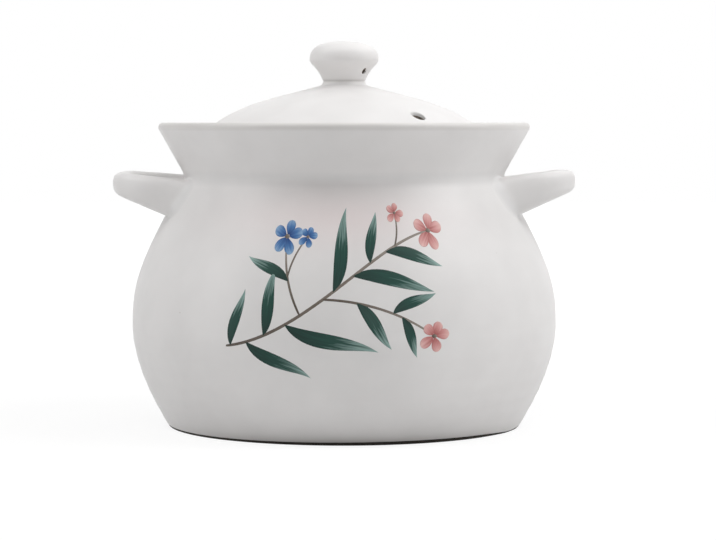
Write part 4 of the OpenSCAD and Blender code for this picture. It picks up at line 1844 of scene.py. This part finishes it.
@dataclass(frozen=True)
class Studio:
    """A white sweep, soft lamps and a camera a little above the rim, all in metres."""

    floor_side: float = 8.0
    floor_z: float = -0.0001
    floor_colour: str = "#E8E8E8"
    white: str = "#FFFFFF"
    # Strength of the floor's own glow, its share of the floor's look near the pot, and the distances over which that
    # share grows to all of it
    glow: float = 1.1
    glow_share: float = 0.78
    glow_fade: tuple[float, float] = (0.3, 0.9)
    # Strength of the surround for matte light
    fill: float = 0.02
    lamps: tuple[Softbox, ...] = (
        Softbox("top_softbox", (0.0, 0.0, 1.8), 1.6, 10.5),
        Softbox("top_right_softbox", (1.2, -0.2, 1.4), 1.0, 14.5),
        Softbox("right_softbox", (1.6, -0.2, 0.55), 1.0, 2.5),
        Softbox("top_left_softbox", (-1.2, -0.2, 1.4), 1.0, 10.0),
        Softbox("left_softbox", (-1.5, -0.5, 0.45), 0.8, 3.2),
        Softbox("front_softbox", (0.5, -1.9, 0.32), 0.6, 5.0),
        Softbox("back_softbox", (0.7, 1.0, 1.4), 1.0, 3.5),
    )
    camera_distance: float = 1.45
    camera_height: float = 0.1785
    camera_aim: tuple[float, float] = (0.0082, 0.0912)
    mm_per_pixel: float = 0.592
    sensor: float = 36.0

    def _seen(self, tree: bpy.types.NodeTree) -> bpy.types.NodeSocket:
        """Tells the rays that the eye follows from those that light the pot.

        Args:
            tree: Takes the nodes.

        Returns:
            1 for rays from the camera and for mirrored or refracted ones, 0 for the rest.
        """
        path = add_node(tree, "ShaderNodeLightPath").outputs
        seen = path["Is Camera Ray"]
        for ray in ("Is Glossy Ray", "Is Transmission Ray"):
            seen = add_node(tree, "ShaderNodeMath", {0: seen, 1: path[ray]}, operation="MAXIMUM").outputs[0]
        return seen

    def _floor(self) -> None:
        """Lays the floor: a matte pale sheet that glows for the camera, so that it is white but keeps the shadow."""
        half, z = self.floor_side / 2, self.floor_z
        mesh = bpy.data.meshes.new("floor")
        mesh.from_pydata([(-half, -half, z), (half, -half, z), (half, half, z), (-half, half, z)], [], [(0, 1, 2, 3)])
        material, tree = blank_material("white_paper_sweep")
        matte = add_node(tree, "ShaderNodeBsdfDiffuse", {"Color": linear(self.floor_colour)})
        glow = add_node(tree, "ShaderNodeEmission", {"Color": linear(self.white), "Strength": self.glow})
        place = add_node(tree, "ShaderNodeTexCoord").outputs["Object"]
        away = add_node(tree, "ShaderNodeVectorMath", {0: place}, operation="LENGTH").outputs["Value"]
        near, far = self.glow_fade
        fade = add_node(
            tree, "ShaderNodeMapRange", {"Value": away, "From Min": near, "From Max": far, "To Min": self.glow_share}
        )
        share = add_node(tree, "ShaderNodeMath", {0: self._seen(tree), 1: fade.outputs[0]}, operation="MULTIPLY")
        both = add_node(tree, "ShaderNodeMixShader", {0: share.outputs[0], 1: matte.outputs[0], 2: glow.outputs[0]})
        add_node(tree, "ShaderNodeOutputMaterial", {"Surface": both.outputs[0]})
        mesh.materials.append(material)
        floor = bpy.data.objects.new("floor", mesh)
        bpy.context.scene.collection.objects.link(floor)

    def _world(self) -> None:
        """Sets a white surround for the eye and for reflections, and a dimmer one for matte light."""
        world = bpy.data.worlds.new("studio")
        world.use_nodes = True
        tree = world.node_tree
        tree.nodes.clear()
        strength = add_node(tree, "ShaderNodeMapRange", {"Value": self._seen(tree), "To Min": self.fill, "To Max": 1.0})
        light = add_node(
            tree, "ShaderNodeBackground", {"Color": linear(self.white), "Strength": strength.outputs[0]}
        )
        add_node(tree, "ShaderNodeOutputWorld", {"Surface": light.outputs[0]})
        bpy.context.scene.world = world

    def _camera(self) -> None:
        """Sets the camera level with the rim and tilted down to the middle of the picture."""
        data = bpy.data.cameras.new("camera")
        data.sensor_fit, data.sensor_width = "HORIZONTAL", self.sensor
        data.lens = self.sensor * self.camera_distance / (IMAGE_WIDTH_PX * self.mm_per_pixel * MM)
        made = bpy.data.objects.new("camera", data)
        made.location = (self.camera_aim[0], -self.camera_distance, self.camera_height)
        aim = Vector((self.camera_aim[0], 0.0, self.camera_aim[1]))
        made.rotation_euler = (aim - made.location).to_track_quat("-Z", "Y").to_euler()
        bpy.context.scene.collection.objects.link(made)
        bpy.context.scene.camera = made

    def build(self) -> None:
        """Sets up the camera, the floor, the surround and the lamps."""
        bpy.context.scene.view_settings.view_transform = "Standard"
        self._camera()
        self._floor()
        self._world()
        for lamp in self.lamps:
            lamp.build()
        LOG.info("studio: %d lamps", len(self.lamps))


def main() -> None:
    """Builds and dresses each piece on the frame and sets up the studio."""
    logging.basicConfig(level=logging.INFO, format="%(name)s: %(message)s")
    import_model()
    pot_glaze = SatinGlaze().material()
    # The lid has a thicker coat, with less change of tone in hollows and without the pot's painted shade on edges; the
    # knob's glaze is a lighter copy, which paints the light that falls on the knob
    lid_glaze = SatinGlaze("white_satin_lid_glaze", pooled="#E8E6E5", thin="#EEECE9").material()
    knob_glaze_painted_light = SatinGlaze(
        "white_satin_knob_glaze", colour="#F0EEED", cloud="#EBE9E8", pooled="#ECEAE9", thin="#F0EEED"
    ).material()
    # Bare clay of the ledge and of the lid's bearing face, and inside the holes, where its dark tone paints their shade
    bare = BareClay("bare_stoneware", colour="#958B81", dark="#797067").material()
    # Bare clay of the underside and foot, dark enough to paint the contact shadow
    dark = BareClay("bare_stoneware_painted_shadow", colour="#3B3733", dark="#2B2825").material()
    pot = PotBody()
    pot.dress(pot.build(), pot_glaze, bare, dark)
    for side in Side:
        handle = LoopHandle(pot, side)
        handle.dress(handle.build(), pot_glaze)
    lid = LidShell(pot)
    lid.dress(lid.build(), lid_glaze, bare)
    knob = Knob(lid)
    knob.dress(knob.build(), knob_glaze_painted_light, bare)
    painting = Brushwork(pot)
    painting.dress(painting.build())
    Studio().build()


if __name__ == "__main__":
    main()
